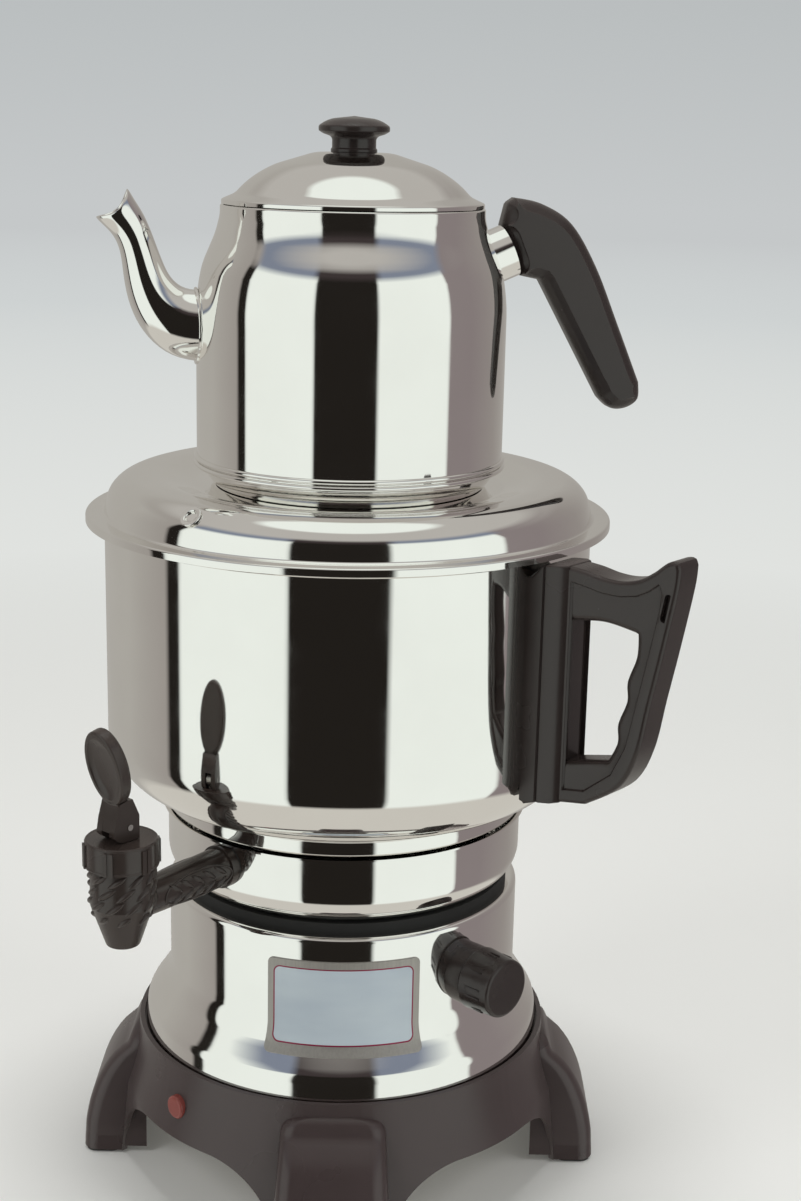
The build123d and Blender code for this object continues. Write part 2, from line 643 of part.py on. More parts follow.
def element_gaskets():
    floor = SUMP_Z + STEEL
    ring = column(BUSH_SHOULDER_R, floor, floor + GASKET) - column(BUSH_R, floor - 1, floor + GASKET + 1)
    return group(Pos(side * ELEMENT_LEG_X, ELEMENT_BACK_Y, 0) * ring for side in (-1, 1))


def element_nuts():
    nut = hex_nut(18, 5, BUSH_R)
    return group(Pos(side * ELEMENT_LEG_X, ELEMENT_BACK_Y, SUMP_Z - 5) * nut for side in (-1, 1))


# ---------------------------------------------------------------- tank handle


def handle_gap():
    """Outline of the finger gap, with a waved grip side."""
    wave = Spline(GAP_RIGHT_TOP, *GAP_WAVE)
    edges = Line(GAP_LEFT_BOTTOM, GAP_LEFT_TOP) + ThreePointArc(GAP_LEFT_TOP, GAP_TOP_MID, GAP_RIGHT_TOP)
    edges += wave + Line(GAP_WAVE[-1], GAP_LEFT_BOTTOM)
    return fillet(make_face(edges).vertices(), GAP_CORNER_R)


def handle_outline():
    top = Spline(*HANDLE_TOP)
    horn = Spline(HANDLE_TOP[-1], *HANDLE_HORN)
    outer = Spline(HANDLE_HORN[-1], *HANDLE_OUTER)
    edges = Line(HANDLE_SEAT_TOP, HANDLE_TOP[0]) + top + horn + outer + Line(HANDLE_OUTER[-1], HANDLE_FOOT)
    low, high = (HANDLE_ROOT, HANDLE_FOOT[1]), (HANDLE_ROOT, HANDLE_SEAT_TOP[1])
    return make_face(edges + Polyline(HANDLE_FOOT, low, high, HANDLE_SEAT_TOP))


def beyond(reach):
    """Everything further out from the tank's wall than reach, as a rectangle to cut outlines with."""
    return Pos(reach + TANK_R / 2, HANDLE_SCREW_Z[0]) * Rectangle(TANK_R, TANK_TOP_Z)


def handle_block(outline):
    """The thick part at the wall: the outline inside an upright prism that slopes down to the plate."""
    half, plate = HANDLE_BLOCK_THICK / 2, HANDLE_THICK / 2
    slope_end = HANDLE_BLOCK_REACH + HANDLE_BLOCK_SLOPE
    section = filled(
        (HANDLE_ROOT, -half), (HANDLE_BLOCK_REACH, -half), (slope_end, -plate), (slope_end, plate),
        (HANDLE_BLOCK_REACH, half), (HANDLE_ROOT, half),
    )
    tank = Pos(-TANK_R, 0, 0) * Rot(90, 0, 0) * Cylinder(TANK_R, TANK_TOP_Z * 3)
    block = extrude(outline, amount=half, both=True) - tank
    return block & extrude(Plane.XZ * section, amount=TANK_TOP_Z * 2, both=True)


def tank_handle():
    """Moulded side handle with a wall block, a finger gap and a thumb horn."""
    outline, gap = handle_outline(), handle_gap()
    half = HANDLE_THICK / 2
    plate = extrude((outline & beyond(HANDLE_BLOCK_REACH / 2)) - gap, amount=half, both=True)
    slot = Pos(*HANG_SLOT) * Rot(0, 0, HANG_SLOT_LEAN) * SlotOverall(*HANG_SLOT_SIZE)
    for side in (-1, 1):
        plate -= extrude(Plane.XY.offset(side * (half - HANG_SLOT_DEPTH)) * slot, amount=side * half)
    handle = plate + handle_block(outline)
    handle = upright(HANDLE_AZIMUTH, outward(HANDLE_AZIMUTH, TANK_R).origin) * handle
    for height in HANDLE_SCREW_Z:
        handle -= bored(outward(HANDLE_AZIMUTH, 0, height), HANDLE_SCREW_R, TANK_R - 2, TANK_R + 14)
    return handle


def tank_handle_screws():
    """Screws from inside the tank into the handle's block."""
    screw = Rot(180, 0, 0) * pan_screw(HANDLE_SCREW_R, 15.5)
    head_r = TANK_R - STEEL - GASKET
    return group(outward(HANDLE_AZIMUTH, head_r, height) * screw for height in HANDLE_SCREW_Z)


def tank_handle_washers():
    pieces = []
    for height in HANDLE_SCREW_Z:
        plane = outward(HANDLE_AZIMUTH, 0, height)
        ring = bored(plane, HANDLE_WASHER_R, TANK_R - STEEL - GASKET, TANK_R)
        ring -= bored(plane, HANDLE_SCREW_R, TANK_R - 9, TANK_R + 1)
        pieces.append(ring & column(TANK_R - STEEL, SUMP_Z, TANK_TOP_Z))
    return group(pieces)


# ---------------------------------------------------------------- tap


def tap_axis():
    return outward(TAP_AZIMUTH, TAP_REACH).origin


def tap_body():
    """Barrel and shank in one moulding, with a seat, a nozzle and a threaded tail."""
    axis = tap_axis()
    barrel = turned(filled(
        (0, TAP_NOZZLE_Z), (TAP_NOZZLE_R, TAP_NOZZLE_Z), (TAP_BARREL_R, TAP_CONE_TOP_Z),
        (TAP_BARREL_R, TAP_BARREL_TOP_Z), (TAP_NECK_R, TAP_BARREL_TOP_Z),
        (TAP_NECK_R, BONNET_TOP_Z - BONNET_PLATE), (0, BONNET_TOP_Z - BONNET_PLATE),
    ))
    barrel = fillet(barrel.edges().group_by(Axis.Z)[0], 1.2)
    plane = outward(TAP_AZIMUTH, 0, TAP_Z)
    shank = loft([
        plane.offset(SUMP_R + 4) * Circle(SHANK_ROOT_R),
        plane.offset(TAP_REACH) * Circle(SHANK_R),
    ])
    flange = bored(plane, FLANGE_R, SUMP_R - 4, SUMP_R + GASKET + FLANGE_DEPTH)
    flange -= column(SUMP_R + GASKET, SUMP_Z, TANK_TOP_Z)
    tail = bored(plane, SHANK_TAIL_R, TAIL_INNER_R, SUMP_R + 6)
    moulding = Pos(axis.X, axis.Y, 0) * barrel + shank + flange + tail
    moulding -= Pos(axis.X, axis.Y, 0) * column(TAP_BORE_R, TAP_NOZZLE_Z - 1, TAP_SEAT_Z + 1)
    moulding -= Pos(axis.X, axis.Y, 0) * column(TAP_CHAMBER_R, TAP_SEAT_Z, BONNET_TOP_Z)
    return moulding - bored(plane, SHANK_BORE_R, TAIL_INNER_R - 1, TAP_REACH)


def tap_gasket():
    plane = outward(TAP_AZIMUTH, 0, TAP_Z)
    ring = bored(plane, FLANGE_R, SUMP_R - 4, SUMP_R + 4) - bored(plane, SHANK_TAIL_R, SUMP_R - 5, SUMP_R + 5)
    return (ring & column(SUMP_R + GASKET, SUMP_Z, TANK_TOP_Z)) - column(SUMP_R, 0, TANK_TOP_Z)


def tap_nut():
    """Nut inside the sump that clamps the tap."""
    nut = hex_nut(TAP_NUT_FLATS, TAP_NUT_HEIGHT + 3, SHANK_TAIL_R)
    inner = SUMP_R - STEEL - TAP_NUT_HEIGHT - 1
    return (outward(TAP_AZIMUTH, inner, TAP_Z) * nut) & column(SUMP_R - STEEL, 0, TANK_TOP_Z)


def tap_bonnet():
    """Screwed cap with grip lugs; the stem slides through it and the lever rocks on it."""
    axis = tap_axis()
    plate_z = BONNET_TOP_Z - BONNET_PLATE
    cap = column(BONNET_R, TAP_BARREL_TOP_Z, BONNET_TOP_Z)
    cap = chamfer(cap.edges().group_by(Axis.Z)[-1], 0.8)
    lug = Box(2.4, 4.6, BONNET_TOP_Z - TAP_BARREL_TOP_Z - 1.5)
    slit = Box(3.0, 1.2, BONNET_TOP_Z)
    for index in range(BONNET_LUGS):
        turn = Rot(0, 0, index * 360 / BONNET_LUGS)
        cap += turn * Pos(BONNET_R - 0.4, 0, (BONNET_TOP_Z + TAP_BARREL_TOP_Z) / 2 - 0.75) * lug
        cap -= turn * Pos(BONNET_R + 1.9, 0, TAP_BARREL_TOP_Z) * slit
    cap -= column(TAP_NECK_R + SHAFT_GAP, TAP_BARREL_TOP_Z - 1, plate_z)
    cap -= column(STEM_R + SHAFT_GAP, plate_z - 1, BONNET_TOP_Z + 1)
    return Pos(axis.X, axis.Y, 0) * Rot(0, 0, LEVER_AZIMUTH) * cap


def tap_stem():
    """Stem with an eye for the lever pin and a plate that the spring pushes down."""
    axis = tap_axis()
    pin_z = BONNET_TOP_Z + PIN_HEIGHT
    plate_z = TAP_SEAT_Z + LIFT_GAP + CUP_HEIGHT
    rod = column(STEM_R, plate_z, pin_z) + column(STEM_PLATE_R, plate_z, plate_z + STEM_PLATE)
    plane = outward(LEVER_AZIMUTH, 0, pin_z)
    across = Plane(origin=(0, 0, pin_z), x_dir=plane.z_dir, z_dir=plane.x_dir)
    eye = extrude(across * Circle(STEM_EYE_R), amount=STEM_EYE_HALF, both=True)
    bore = extrude(across * Circle(PIN_R + SHAFT_GAP), amount=LEVER_WIDTH, both=True)
    return Pos(axis.X, axis.Y, 0) * (rod + eye - bore)


def tap_seat_cup():
    """Silicone cup under the stem's plate that closes the seat."""
    axis = tap_axis()
    bottom = TAP_SEAT_Z + LIFT_GAP
    top = bottom + CUP_HEIGHT
    side = [(CUP_R - 1.5, bottom), (CUP_R, bottom + 1.5), (CUP_R - 1.2, top)]
    return Pos(axis.X, axis.Y, 0) * turned(filled((0, bottom), *side, (0, top)))


def tap_spring():
    """Compression spring between the stem's plate and the bonnet."""
    axis = tap_axis()
    bottom = TAP_SEAT_Z + LIFT_GAP + CUP_HEIGHT + STEM_PLATE + SPRING_WIRE_R
    top = BONNET_TOP_Z - BONNET_PLATE - SPRING_WIRE_R
    helix = Helix(pitch=(top - bottom) / SPRING_TURNS, height=top - bottom, radius=SPRING_R)
    start = Plane(origin=helix @ 0, z_dir=helix % 0)
    coil = sweep(start * Circle(SPRING_WIRE_R), path=helix, is_frenet=True)
    return Pos(axis.X, axis.Y, bottom) * coil


def cam_point(angle):
    """Point of the lever's heel. The heel is an involute, so the stem rises evenly with the tilt."""
    rise = STEM_LIFT / radians(LEVER_TILT)
    reach = PIN_HEIGHT - LIFT_GAP + rise * angle
    return (reach * sin(angle) + rise * cos(angle), -reach * cos(angle) + rise * sin(angle))


def tap_lever():
    """Forked lever: its heel rocks on the bonnet, its paddle is dished on the outer side."""
    axis = tap_axis()
    place = (axis.X, axis.Y, BONNET_TOP_Z + PIN_HEIGHT)
    plane = upright(LEVER_AZIMUTH, place)
    heel = Spline(*[cam_point(radians(LEVER_TILT) * step / 6) for step in range(7)])
    low = -(PIN_HEIGHT - LIFT_GAP)
    toe = cam_point(radians(LEVER_TILT))
    edges = heel + Polyline(toe, *FORK_OUTLINE, (FORK_OUTLINE[-1][0], low), cam_point(0))
    fork = extrude(plane * make_face(edges), amount=LEVER_WIDTH / 2, both=True)
    lean = upright(LEVER_AZIMUTH, place, LEVER_LEAN)
    neck_face = Pos(0.6, 12) * Rectangle(5.6, 12)
    fork += extrude(lean * neck_face, amount=LEVER_WIDTH / 2 - 0.8, both=True)
    slot = Pos(0, (low + 5.2) / 2 - 2) * Rectangle(40, 5.2 - low + 4)
    fork -= extrude(plane * slot, amount=LEVER_SLOT / 2, both=True)
    face = Plane(origin=lean.origin, x_dir=-lean.z_dir, z_dir=lean.x_dir)
    oval = Pos(0, PADDLE_CENTRE) * Ellipse(PADDLE_HALF_WIDTH, PADDLE_HALF_HEIGHT)
    dish = Pos(0, PADDLE_CENTRE) * Ellipse(PADDLE_HALF_WIDTH - PADDLE_RIM, PADDLE_HALF_HEIGHT - PADDLE_RIM)
    paddle = extrude(face * oval, amount=PADDLE_THICK / 2, both=True)
    paddle = fillet(paddle.edges(), 1.0)
    paddle -= extrude(face.offset(PADDLE_THICK / 2 - PADDLE_DISH) * dish, amount=PADDLE_DISH + 1)
    lever = fork + paddle
    return lever - extrude(plane * Circle(PIN_R), amount=LEVER_WIDTH, both=True)


def tap_lever_pin():
    axis = tap_axis()
    plane = upright(LEVER_AZIMUTH, (axis.X, axis.Y, BONNET_TOP_Z + PIN_HEIGHT))
    return extrude(plane * Circle(PIN_R), amount=LEVER_WIDTH / 2 + 0.4, both=True)


# ---------------------------------------------------------------- tank lid


def lid_path():
    return [
        (BRIM_R, BRIM_Z - BRIM_TURN), (BRIM_R, BRIM_Z), (DOME_R, BRIM_Z), (DOME_R - 5, CREST_Z - 0.4),
        (CREST_R, CREST_Z), (SEAT_R, SEAT_Z), (LID_BORE_R, SEAT_Z), (LID_BORE_R, SEAT_Z - LID_COLLAR),
    ]


def vent_plane():
    """Plane on the dome's round shoulder where the steam vent sits."""
    a, slope = radians(VENT_AZIMUTH), radians(VENT_SLOPE)
    reach = DOME_R - 16.5 + 15 * cos(slope)
    height = CREST_Z - 15.4 + 15 * sin(slope)
    normal = (cos(slope) * sin(a), -cos(slope) * cos(a), sin(slope))
    return Plane(origin=(reach * sin(a), -reach * cos(a), height), z_dir=normal)


def tank_lid():
    """Domed lid with a rolled brim, a dished seat for the teapot and a steam collar."""
    lid = turned(sheet(lid_path(), [1.2, 1.5, 15, 30, 8, 2], STEEL, Side.LEFT))
    return lid - bored(vent_plane(), VENT_HOLE_R + 1, -6, 6)


def lid_locating_ring():
    """Rolled ring under the brim that centres the lid in the tank."""
    flange_z = BRIM_Z - STEEL - THIN_STEEL
    points = [(LOCATING_R, flange_z - LOCATING_DEPTH), (LOCATING_R, flange_z), (BRIM_R - 3.5, flange_z)]
    return turned(sheet(points, [1.2], THIN_STEEL, Side.LEFT))


def vent_eyelet():
    plane = vent_plane()
    eyelet = bored(plane, VENT_HOLE_R + 1, -2.5, 1.2) + bored(plane, VENT_HOLE_R + 2.6, 0.25, 1.2)
    return eyelet - bored(plane, VENT_HOLE_R, -4, 4)


# ---------------------------------------------------------------- teapot


def pot_path():
    return [
        (0, POT_BOTTOM_Z), (POT_R, POT_BOTTOM_Z), (POT_R, POT_SHOULDER_Z), *POT_CURVE,
        (POT_RIM_R, POT_NECK_Z), (POT_RIM_R, POT_RIM_Z), (POT_MOUTH_R, POT_RIM_Z),
    ]


def pot_form():
    """The teapot's outside as a filled form, to seat the spout and the ferrule on it."""
    outline = FilletPolyline(*pot_path(), radius=POT_CORNERS)
    return turned(make_face(outline + Polyline((POT_MOUTH_R, POT_RIM_Z), (0, POT_RIM_Z), (0, POT_BOTTOM_Z))))


def teapot_body():
    body = turned(sheet(pot_path(), POT_CORNERS, STEEL, Side.LEFT))
    for height in (1.7, 4.8):
        body += Pos(0, 0, POT_BOTTOM_Z + height) * Torus(POT_R + 0.1, POT_BEAD_R)
    plane = outward(SPOUT_AZIMUTH)
    for row in range(4):
        for column_index in range(3):
            hole = plane * Pos((column_index - 1) * 7, 440 + row * 7, 0)
            body -= hole * Pos(0, 0, POT_R) * Cylinder(1.8, 12)
    start = ferrule_plane(-FERRULE_LENGTH - 8)
    return body - bored(start, POT_SCREW_R, 0, 40)


def teapot_base_disc():
    """Pressed dish welded under the teapot, which it stands on."""
    bottom = SEAT_Z + LIFT_GAP
    floor = bottom + BASE_DISC_FLOOR
    return turned(filled(
        (0, bottom), (FOOT_RING_BOTTOM_R - 2, bottom), (FOOT_RING_BOTTOM_R, bottom + 2),
        (FOOT_RING_TOP_R, POT_BOTTOM_Z), (FOOT_RING_TOP_R - BASE_DISC_WALL, POT_BOTTOM_Z),
        (FOOT_RING_BOTTOM_R - BASE_DISC_WALL, floor), (0, floor),
    ))


def spout_form(inset):
    a = radians(SPOUT_AZIMUTH)
    plans = []
    for reach, height, tall, wide, rise in SPOUT_SECTIONS:
        slope = radians(rise)
        along = (cos(slope) * sin(a), -cos(slope) * cos(a), sin(slope))
        centre = (reach * sin(a), -reach * cos(a), height)
        plane = Plane(origin=centre, x_dir=(cos(a), sin(a), 0), z_dir=along)
        plans.append(plane * Ellipse(wide / 2 - inset, tall / 2 - inset))
    return loft(plans)


def teapot_spout():
    """Swan-neck spout with a beaked mouth, seated on the teapot's wall."""
    spout = spout_form(0) - spout_form(SPOUT_WALL) - pot_form()
    (low_r, low_z), (tip_r, tip_z) = BEAK[0], BEAK[-1]
    above = Polyline((tip_r, tip_z), (tip_r + BEAK_CLEAR, tip_z), (tip_r + BEAK_CLEAR, low_z + BEAK_CLEAR),
                     (low_r, low_z + BEAK_CLEAR), (low_r, low_z))
    cut = make_face(Spline(*BEAK) + above)
    return spout - extrude(upright(SPOUT_AZIMUTH) * cut, amount=BEAK_CLEAR, both=True)


def ferrule_plane(start=0.0):
    """Plane across the teapot handle's ferrule, start millimetres along it from its outer end."""
    a, tilt = radians(POT_HANDLE_AZIMUTH), radians(FERRULE_TILT)
    along = Vector(cos(tilt) * sin(a), -cos(tilt) * cos(a), sin(tilt))
    reach, height = FERRULE_END
    return Plane(origin=Vector(reach * sin(a), -reach * cos(a), height) + along * start, z_dir=along)


def handle_ferrule():
    plane = ferrule_plane(-FERRULE_LENGTH)
    tube = bored(plane, FERRULE_R, 0, FERRULE_LENGTH)
    return tube - bored(plane, FERRULE_R - FERRULE_WALL, -1, FERRULE_LENGTH + 1) - pot_form()


def teapot_handle():
    """Moulded grip that hangs from the ferrule, with a thumb rest on top and a rib down its back."""
    tilt = radians(FERRULE_TILT)
    reach, height = FERRULE_END
    seat_half = FERRULE_R + 0.1
    top_seat = (reach - seat_half * sin(tilt), height + seat_half * cos(tilt))
    low_seat = (reach + seat_half * sin(tilt), height - seat_half * cos(tilt))
    edges = Polyline(top_seat, THUMB_REST, GRIP_BACK[0]) + Spline(*GRIP_BACK)
    edges += Spline(GRIP_BACK[-1], *GRIP_END) + Polyline(GRIP_END[-1], GRIP_FRONT, low_seat, top_seat)
    grip = extrude(make_face(edges), amount=POT_HANDLE_THICK / 2, both=True)
    grip = upright(POT_HANDLE_AZIMUTH) * fillet(face_edges(grip, POT_HANDLE_THICK / 2), POT_HANDLE_ROUNDING)
    spigot = bored(ferrule_plane(), FERRULE_R - FERRULE_WALL - 0.1, -SPIGOT_DEPTH, 1)
    return grip + spigot - bored(ferrule_plane(), POT_SCREW_R, -SPIGOT_DEPTH - 1, 16)


def teapot_handle_screw():
    """Screw from inside the teapot, through the ferrule, into the grip."""
    head = ferrule_plane(-FERRULE_LENGTH + 3.5)
    screw = head * Rot(180, 0, 0) * pan_screw(POT_SCREW_R, FERRULE_LENGTH + 11)
    return screw


def teapot_lid():
    """Domed lid with a rolled edge and an inner skirt."""
    edge = [(POT_LID_R, POT_RIM_Z + LIFT_GAP), (POT_LID_R, POT_RIM_Z + POT_LID_EDGE)]
    lid = turned(sheet(edge + POT_LID_CURVE + [(0, POT_LID_TOP_Z)], POT_LID_CORNERS, STEEL, Side.LEFT))
    low, high = POT_RIM_Z + 3 - POT_LID_SKIRT, POT_RIM_Z + POT_LID_JOIN
    lid += column(POT_LID_SKIRT_R, low, high) - column(POT_LID_SKIRT_R - THIN_STEEL, low - 1, high + 1)
    return lid - column(KNOB_SCREW_R, POT_LID_TOP_Z - 3, POT_LID_TOP_Z + 1)


def lid_knob():
    """Turned knob: a flared foot, a waisted stem and a shallow domed head."""
    z = POT_LID_TOP_Z
    side = FilletPolyline(*[(r, z + rise) for r, rise in KNOB_PROFILE], radius=KNOB_CORNERS)
    knob = turned(make_face(side + Line((0, z + KNOB_HEIGHT), (0, z))))
    return knob - column(KNOB_SCREW_R, z - 1, z + 11)


def lid_knob_washer():
    top = POT_LID_TOP_Z - STEEL
    return column(7, top - 0.8, top) - column(KNOB_SCREW_R, top - 2, top + 1)


def lid_knob_screw():
    under = POT_LID_TOP_Z - STEEL - 0.8
    return Pos(0, 0, under) * Rot(180, 0, 0) * pan_screw(KNOB_SCREW_R, 12)


# ---------------------------------------------------------------- nodes

NODES = {
    "base_moulding": base_moulding,
    "foot_pads": foot_pads,
    "bottom_cover": bottom_cover,
    "cover_screws": cover_screws,
    "heater_housing": heater_housing,
    "seat_ring": seat_ring,
    "tie_rods": tie_rods,
    "tie_nuts": tie_nuts,
    "power_inlet": power_inlet,
    "inlet_pins": inlet_pins,
    "inlet_screws": inlet_screws,
    "thermostat_body": thermostat_body,
    "thermostat_nut": thermostat_nut,
    "thermostat_collar": thermostat_collar,
    "thermostat_shaft": thermostat_shaft,
    "thermostat_knob": thermostat_knob,
    "pilot_lamp_lens": pilot_lamp_lens,
    "pilot_lamp_body": pilot_lamp_body,
    "tank_sump": tank_sump,
    "tank_shell": tank_shell,
    "heating_element": heating_element,
    "element_bushes": element_bushes,
    "element_gaskets": element_gaskets,
    "element_nuts": element_nuts,
    "tank_handle": tank_handle,
    "tank_handle_screws": tank_handle_screws,
    "tank_handle_washers": tank_handle_washers,
    "tap_body": tap_body,
    "tap_gasket": tap_gasket,
    "tap_nut": tap_nut,
    "tap_bonnet": tap_bonnet,
    "tap_stem": tap_stem,
    "tap_seat_cup": tap_seat_cup,
    "tap_spring": tap_spring,
    "tap_lever": tap_lever,
    "tap_lever_pin": tap_lever_pin,
    "tank_lid": tank_lid,
    "lid_locating_ring": lid_locating_ring,
    "vent_eyelet": vent_eyelet,
    "teapot_body": teapot_body,
    "teapot_base_disc": teapot_base_disc,
    "teapot_spout": teapot_spout,
    "handle_ferrule": handle_ferrule,
    "teapot_handle": teapot_handle,
    "teapot_handle_screw": teapot_handle_screw,
    "teapot_lid": teapot_lid,
    "lid_knob": lid_knob,
    "lid_knob_washer": lid_knob_washer,
    "lid_knob_screw": lid_knob_screw,
}

os.makedirs("parts", exist_ok=True)
for name, make in NODES.items():
    export_step(make(), f"parts/{name}.step")
    print("wrote", name)
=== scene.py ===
# %% [markdown]
# A two-tier samovar: a polished water tank on an electric base, with a teapot keeping warm on its lid.
# The working parts come in as a fixed frame. Everything built below is a finish or a finer shell around
# that frame, so the first step is to load it before anything is added.

# %% Load the frame
import json
import math
from itertools import takewhile
import bmesh
import bpy
from mathutils import Matrix, Vector


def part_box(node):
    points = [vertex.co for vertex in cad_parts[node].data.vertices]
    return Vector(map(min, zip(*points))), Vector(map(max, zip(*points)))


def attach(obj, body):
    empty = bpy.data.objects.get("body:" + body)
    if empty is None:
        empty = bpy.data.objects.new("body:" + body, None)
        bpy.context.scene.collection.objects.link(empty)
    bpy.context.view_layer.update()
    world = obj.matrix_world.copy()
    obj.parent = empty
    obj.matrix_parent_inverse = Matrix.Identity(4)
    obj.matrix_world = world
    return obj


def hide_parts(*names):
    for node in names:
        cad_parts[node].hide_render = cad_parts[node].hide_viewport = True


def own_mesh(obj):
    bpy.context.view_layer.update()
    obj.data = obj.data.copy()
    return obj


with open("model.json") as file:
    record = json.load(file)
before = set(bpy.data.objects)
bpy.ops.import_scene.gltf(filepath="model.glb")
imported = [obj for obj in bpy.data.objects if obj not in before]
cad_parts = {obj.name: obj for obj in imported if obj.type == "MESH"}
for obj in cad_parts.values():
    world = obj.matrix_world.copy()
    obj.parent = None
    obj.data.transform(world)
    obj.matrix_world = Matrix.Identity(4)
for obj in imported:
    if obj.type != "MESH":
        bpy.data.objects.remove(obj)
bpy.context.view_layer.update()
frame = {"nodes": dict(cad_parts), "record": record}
MM = 0.001


# %% [markdown]
# The camera stands about level with the teapot's knob and looks a little down. A long-ish lens keeps the
# upright walls nearly parallel, and a small roll leans the whole object. A camera can be aimed at a target
# with a constraint, but here its axes are worked out from pitch and roll, because a matrix says exactly
# where the lens points and needs nothing else in the scene.

# %% Camera
CAMERA_PLACE = Vector((0.0278, -0.939, 0.550))
CAMERA_PITCH = math.radians(14.39)
CAMERA_ROLL = math.radians(1.26)
LENS_MM = 55.45
SENSOR_MM = 36.0


def camera_axes(pitch, roll):
    right = Vector((math.cos(roll), math.sin(roll) * math.sin(pitch), math.sin(roll) * math.cos(pitch)))
    up = Vector((-math.sin(roll), math.cos(roll) * math.sin(pitch), math.cos(roll) * math.cos(pitch)))
    back = Vector((0, -math.cos(pitch), math.sin(pitch)))
    return Matrix((right, up, back)).transposed()


camera_data = bpy.data.cameras.new("studio_camera")
camera_data.lens = LENS_MM
camera_data.sensor_width = SENSOR_MM
camera = bpy.data.objects.new("studio_camera", camera_data)
camera.matrix_world = Matrix.Translation(CAMERA_PLACE) @ camera_axes(CAMERA_PITCH, CAMERA_ROLL).to_4x4()
bpy.context.scene.collection.objects.link(camera)
bpy.context.scene.camera = camera
bpy.context.scene.view_settings.view_transform = "Standard"
print("camera at", tuple(CAMERA_PLACE), "lens", LENS_MM)


# %% [markdown]
# Materials are node graphs. They could be wired up one link at a time, but most of them repeat the same
# few moves, so short helpers make a node with its settings and join it up. Colours are written as they
# look on a screen, from 0 to 255, and are turned into the linear light that the shader wants.

# %% Node helpers
def shade(red, green, blue):
    """A screen colour as linear light."""
    def linear(value):
        value /= 255
        return value / 12.92 if value <= 0.04045 else ((value + 0.055) / 1.055) ** 2.4
    return (linear(red), linear(green), linear(blue), 1.0)


def new_material(name):
    material = bpy.data.materials.new(name)
    material.use_nodes = True
    tree = material.node_tree
    return material, tree, tree.nodes["Principled BSDF"]


def node(tree, kind, **values):
    """A new node with its settings, and its inputs where a name matches one."""
    made = tree.nodes.new(kind)
    for name, value in values.items():
        if name in made.inputs:
            made.inputs[name].default_value = value
        else:
            setattr(made, name, value)
    return made


def math_node(tree, operation, first, second=None):
    made = node(tree, "ShaderNodeMath", operation=operation)
    for socket, value in zip(made.inputs, (first, second)):
        if value is None:
            continue
        if isinstance(value, (int, float)):
            socket.default_value = value
        else:
            tree.links.new(value, socket)
    return made.outputs[0]


print("a mid grey in linear light:", [round(value, 3) for value in shade(128, 128, 128)])


# %% [markdown]
# Real surfaces vary: a hand-polished wall is hazier in one place than in another. An image could carry
# that, but noise worked out from the piece's own coordinates needs no file and no unwrapping, and it stays
# on the piece when the piece moves. These helpers make such noise, set its range and raise it as a bump.

# %% Noise helpers
def object_noise(tree, scale, detail=3.0, stretch=(1, 1, 1)):
    """Noise in the piece's own coordinates, finer where scale is higher and finer along a larger stretch."""
    place = node(tree, "ShaderNodeTexCoord")
    mapping = node(tree, "ShaderNodeMapping")
    mapping.inputs["Scale"].default_value = stretch
    noise = node(tree, "ShaderNodeTexNoise", Scale=scale, Detail=detail)
    tree.links.new(place.outputs["Object"], mapping.inputs["Vector"])
    tree.links.new(mapping.outputs["Vector"], noise.inputs["Vector"])
    return noise.outputs[0]


def spread(tree, value, low, high, start=0.3, end=0.7):
    """A value that runs from low to high while the given one runs from start to end."""
    made = node(tree, "ShaderNodeMapRange")
    made.inputs["From Min"].default_value = start
    made.inputs["From Max"].default_value = end
    made.inputs["To Min"].default_value = low
    made.inputs["To Max"].default_value = high
    tree.links.new(value, made.inputs["Value"])
    return made.outputs["Result"]


def bump(tree, height, strength, distance):
    made = node(tree, "ShaderNodeBump", Strength=strength, Distance=distance)
    tree.links.new(height, made.inputs["Height"])
    return made.outputs["Normal"]


print("noise helpers ready")


# %% [markdown]
# Colours come out of such values in two ways. A ramp gives every value its colour, which suits a tint that
# drifts or a band round the compass. A mix lays one colour over another, which suits a print on metal. A
# ramp could do both, but it would need the two colours to be fixed, and a mix also takes patterns.

# %% Colour helpers
def ramp_of(tree, value, stops):
    """A colour ramp with one stop for each (position, colour)."""
    ramp = node(tree, "ShaderNodeValToRGB")
    elements = ramp.color_ramp.elements
    while len(elements) < len(stops):
        elements.new(0.5)
    for element, (position, colour) in zip(elements, stops):
        element.position = position
        element.color = colour
    tree.links.new(value, ramp.inputs["Fac"])
    return ramp.outputs["Color"]


def two_tone(tree, value, first, second):
    """A colour that runs from first to second as value goes from 0 to 1."""
    return ramp_of(tree, value, [(0.0, first), (1.0, second)])


def blend_by(tree, factor, first, second):
    """The first colour where factor is 0 and the second where it is 1."""
    mix = node(tree, "ShaderNodeMix", data_type="RGBA")
    tree.links.new(factor, mix.inputs["Factor"])
    for socket, value in zip([s for s in mix.inputs if s.type == "RGBA"], (first, second)):
        if isinstance(value, tuple):
            socket.default_value = value
        else:
            tree.links.new(value, socket)
    return [s for s in mix.outputs if s.type == "RGBA"][0]


print("colour helpers ready")


# %% [markdown]
# Polished steel is a mirror, so its look is mostly what it reflects. It could be a metal with one
# roughness, but then it reads as chrome plate. What makes it spun steel is small: a warm grey tint, a haze
# that comes and goes, and a sheet that isn't quite true. The tint and the haze are noise, and a broad
# shallow bump bends the reflections a little. Screws and rods get the same recipe, only duller.

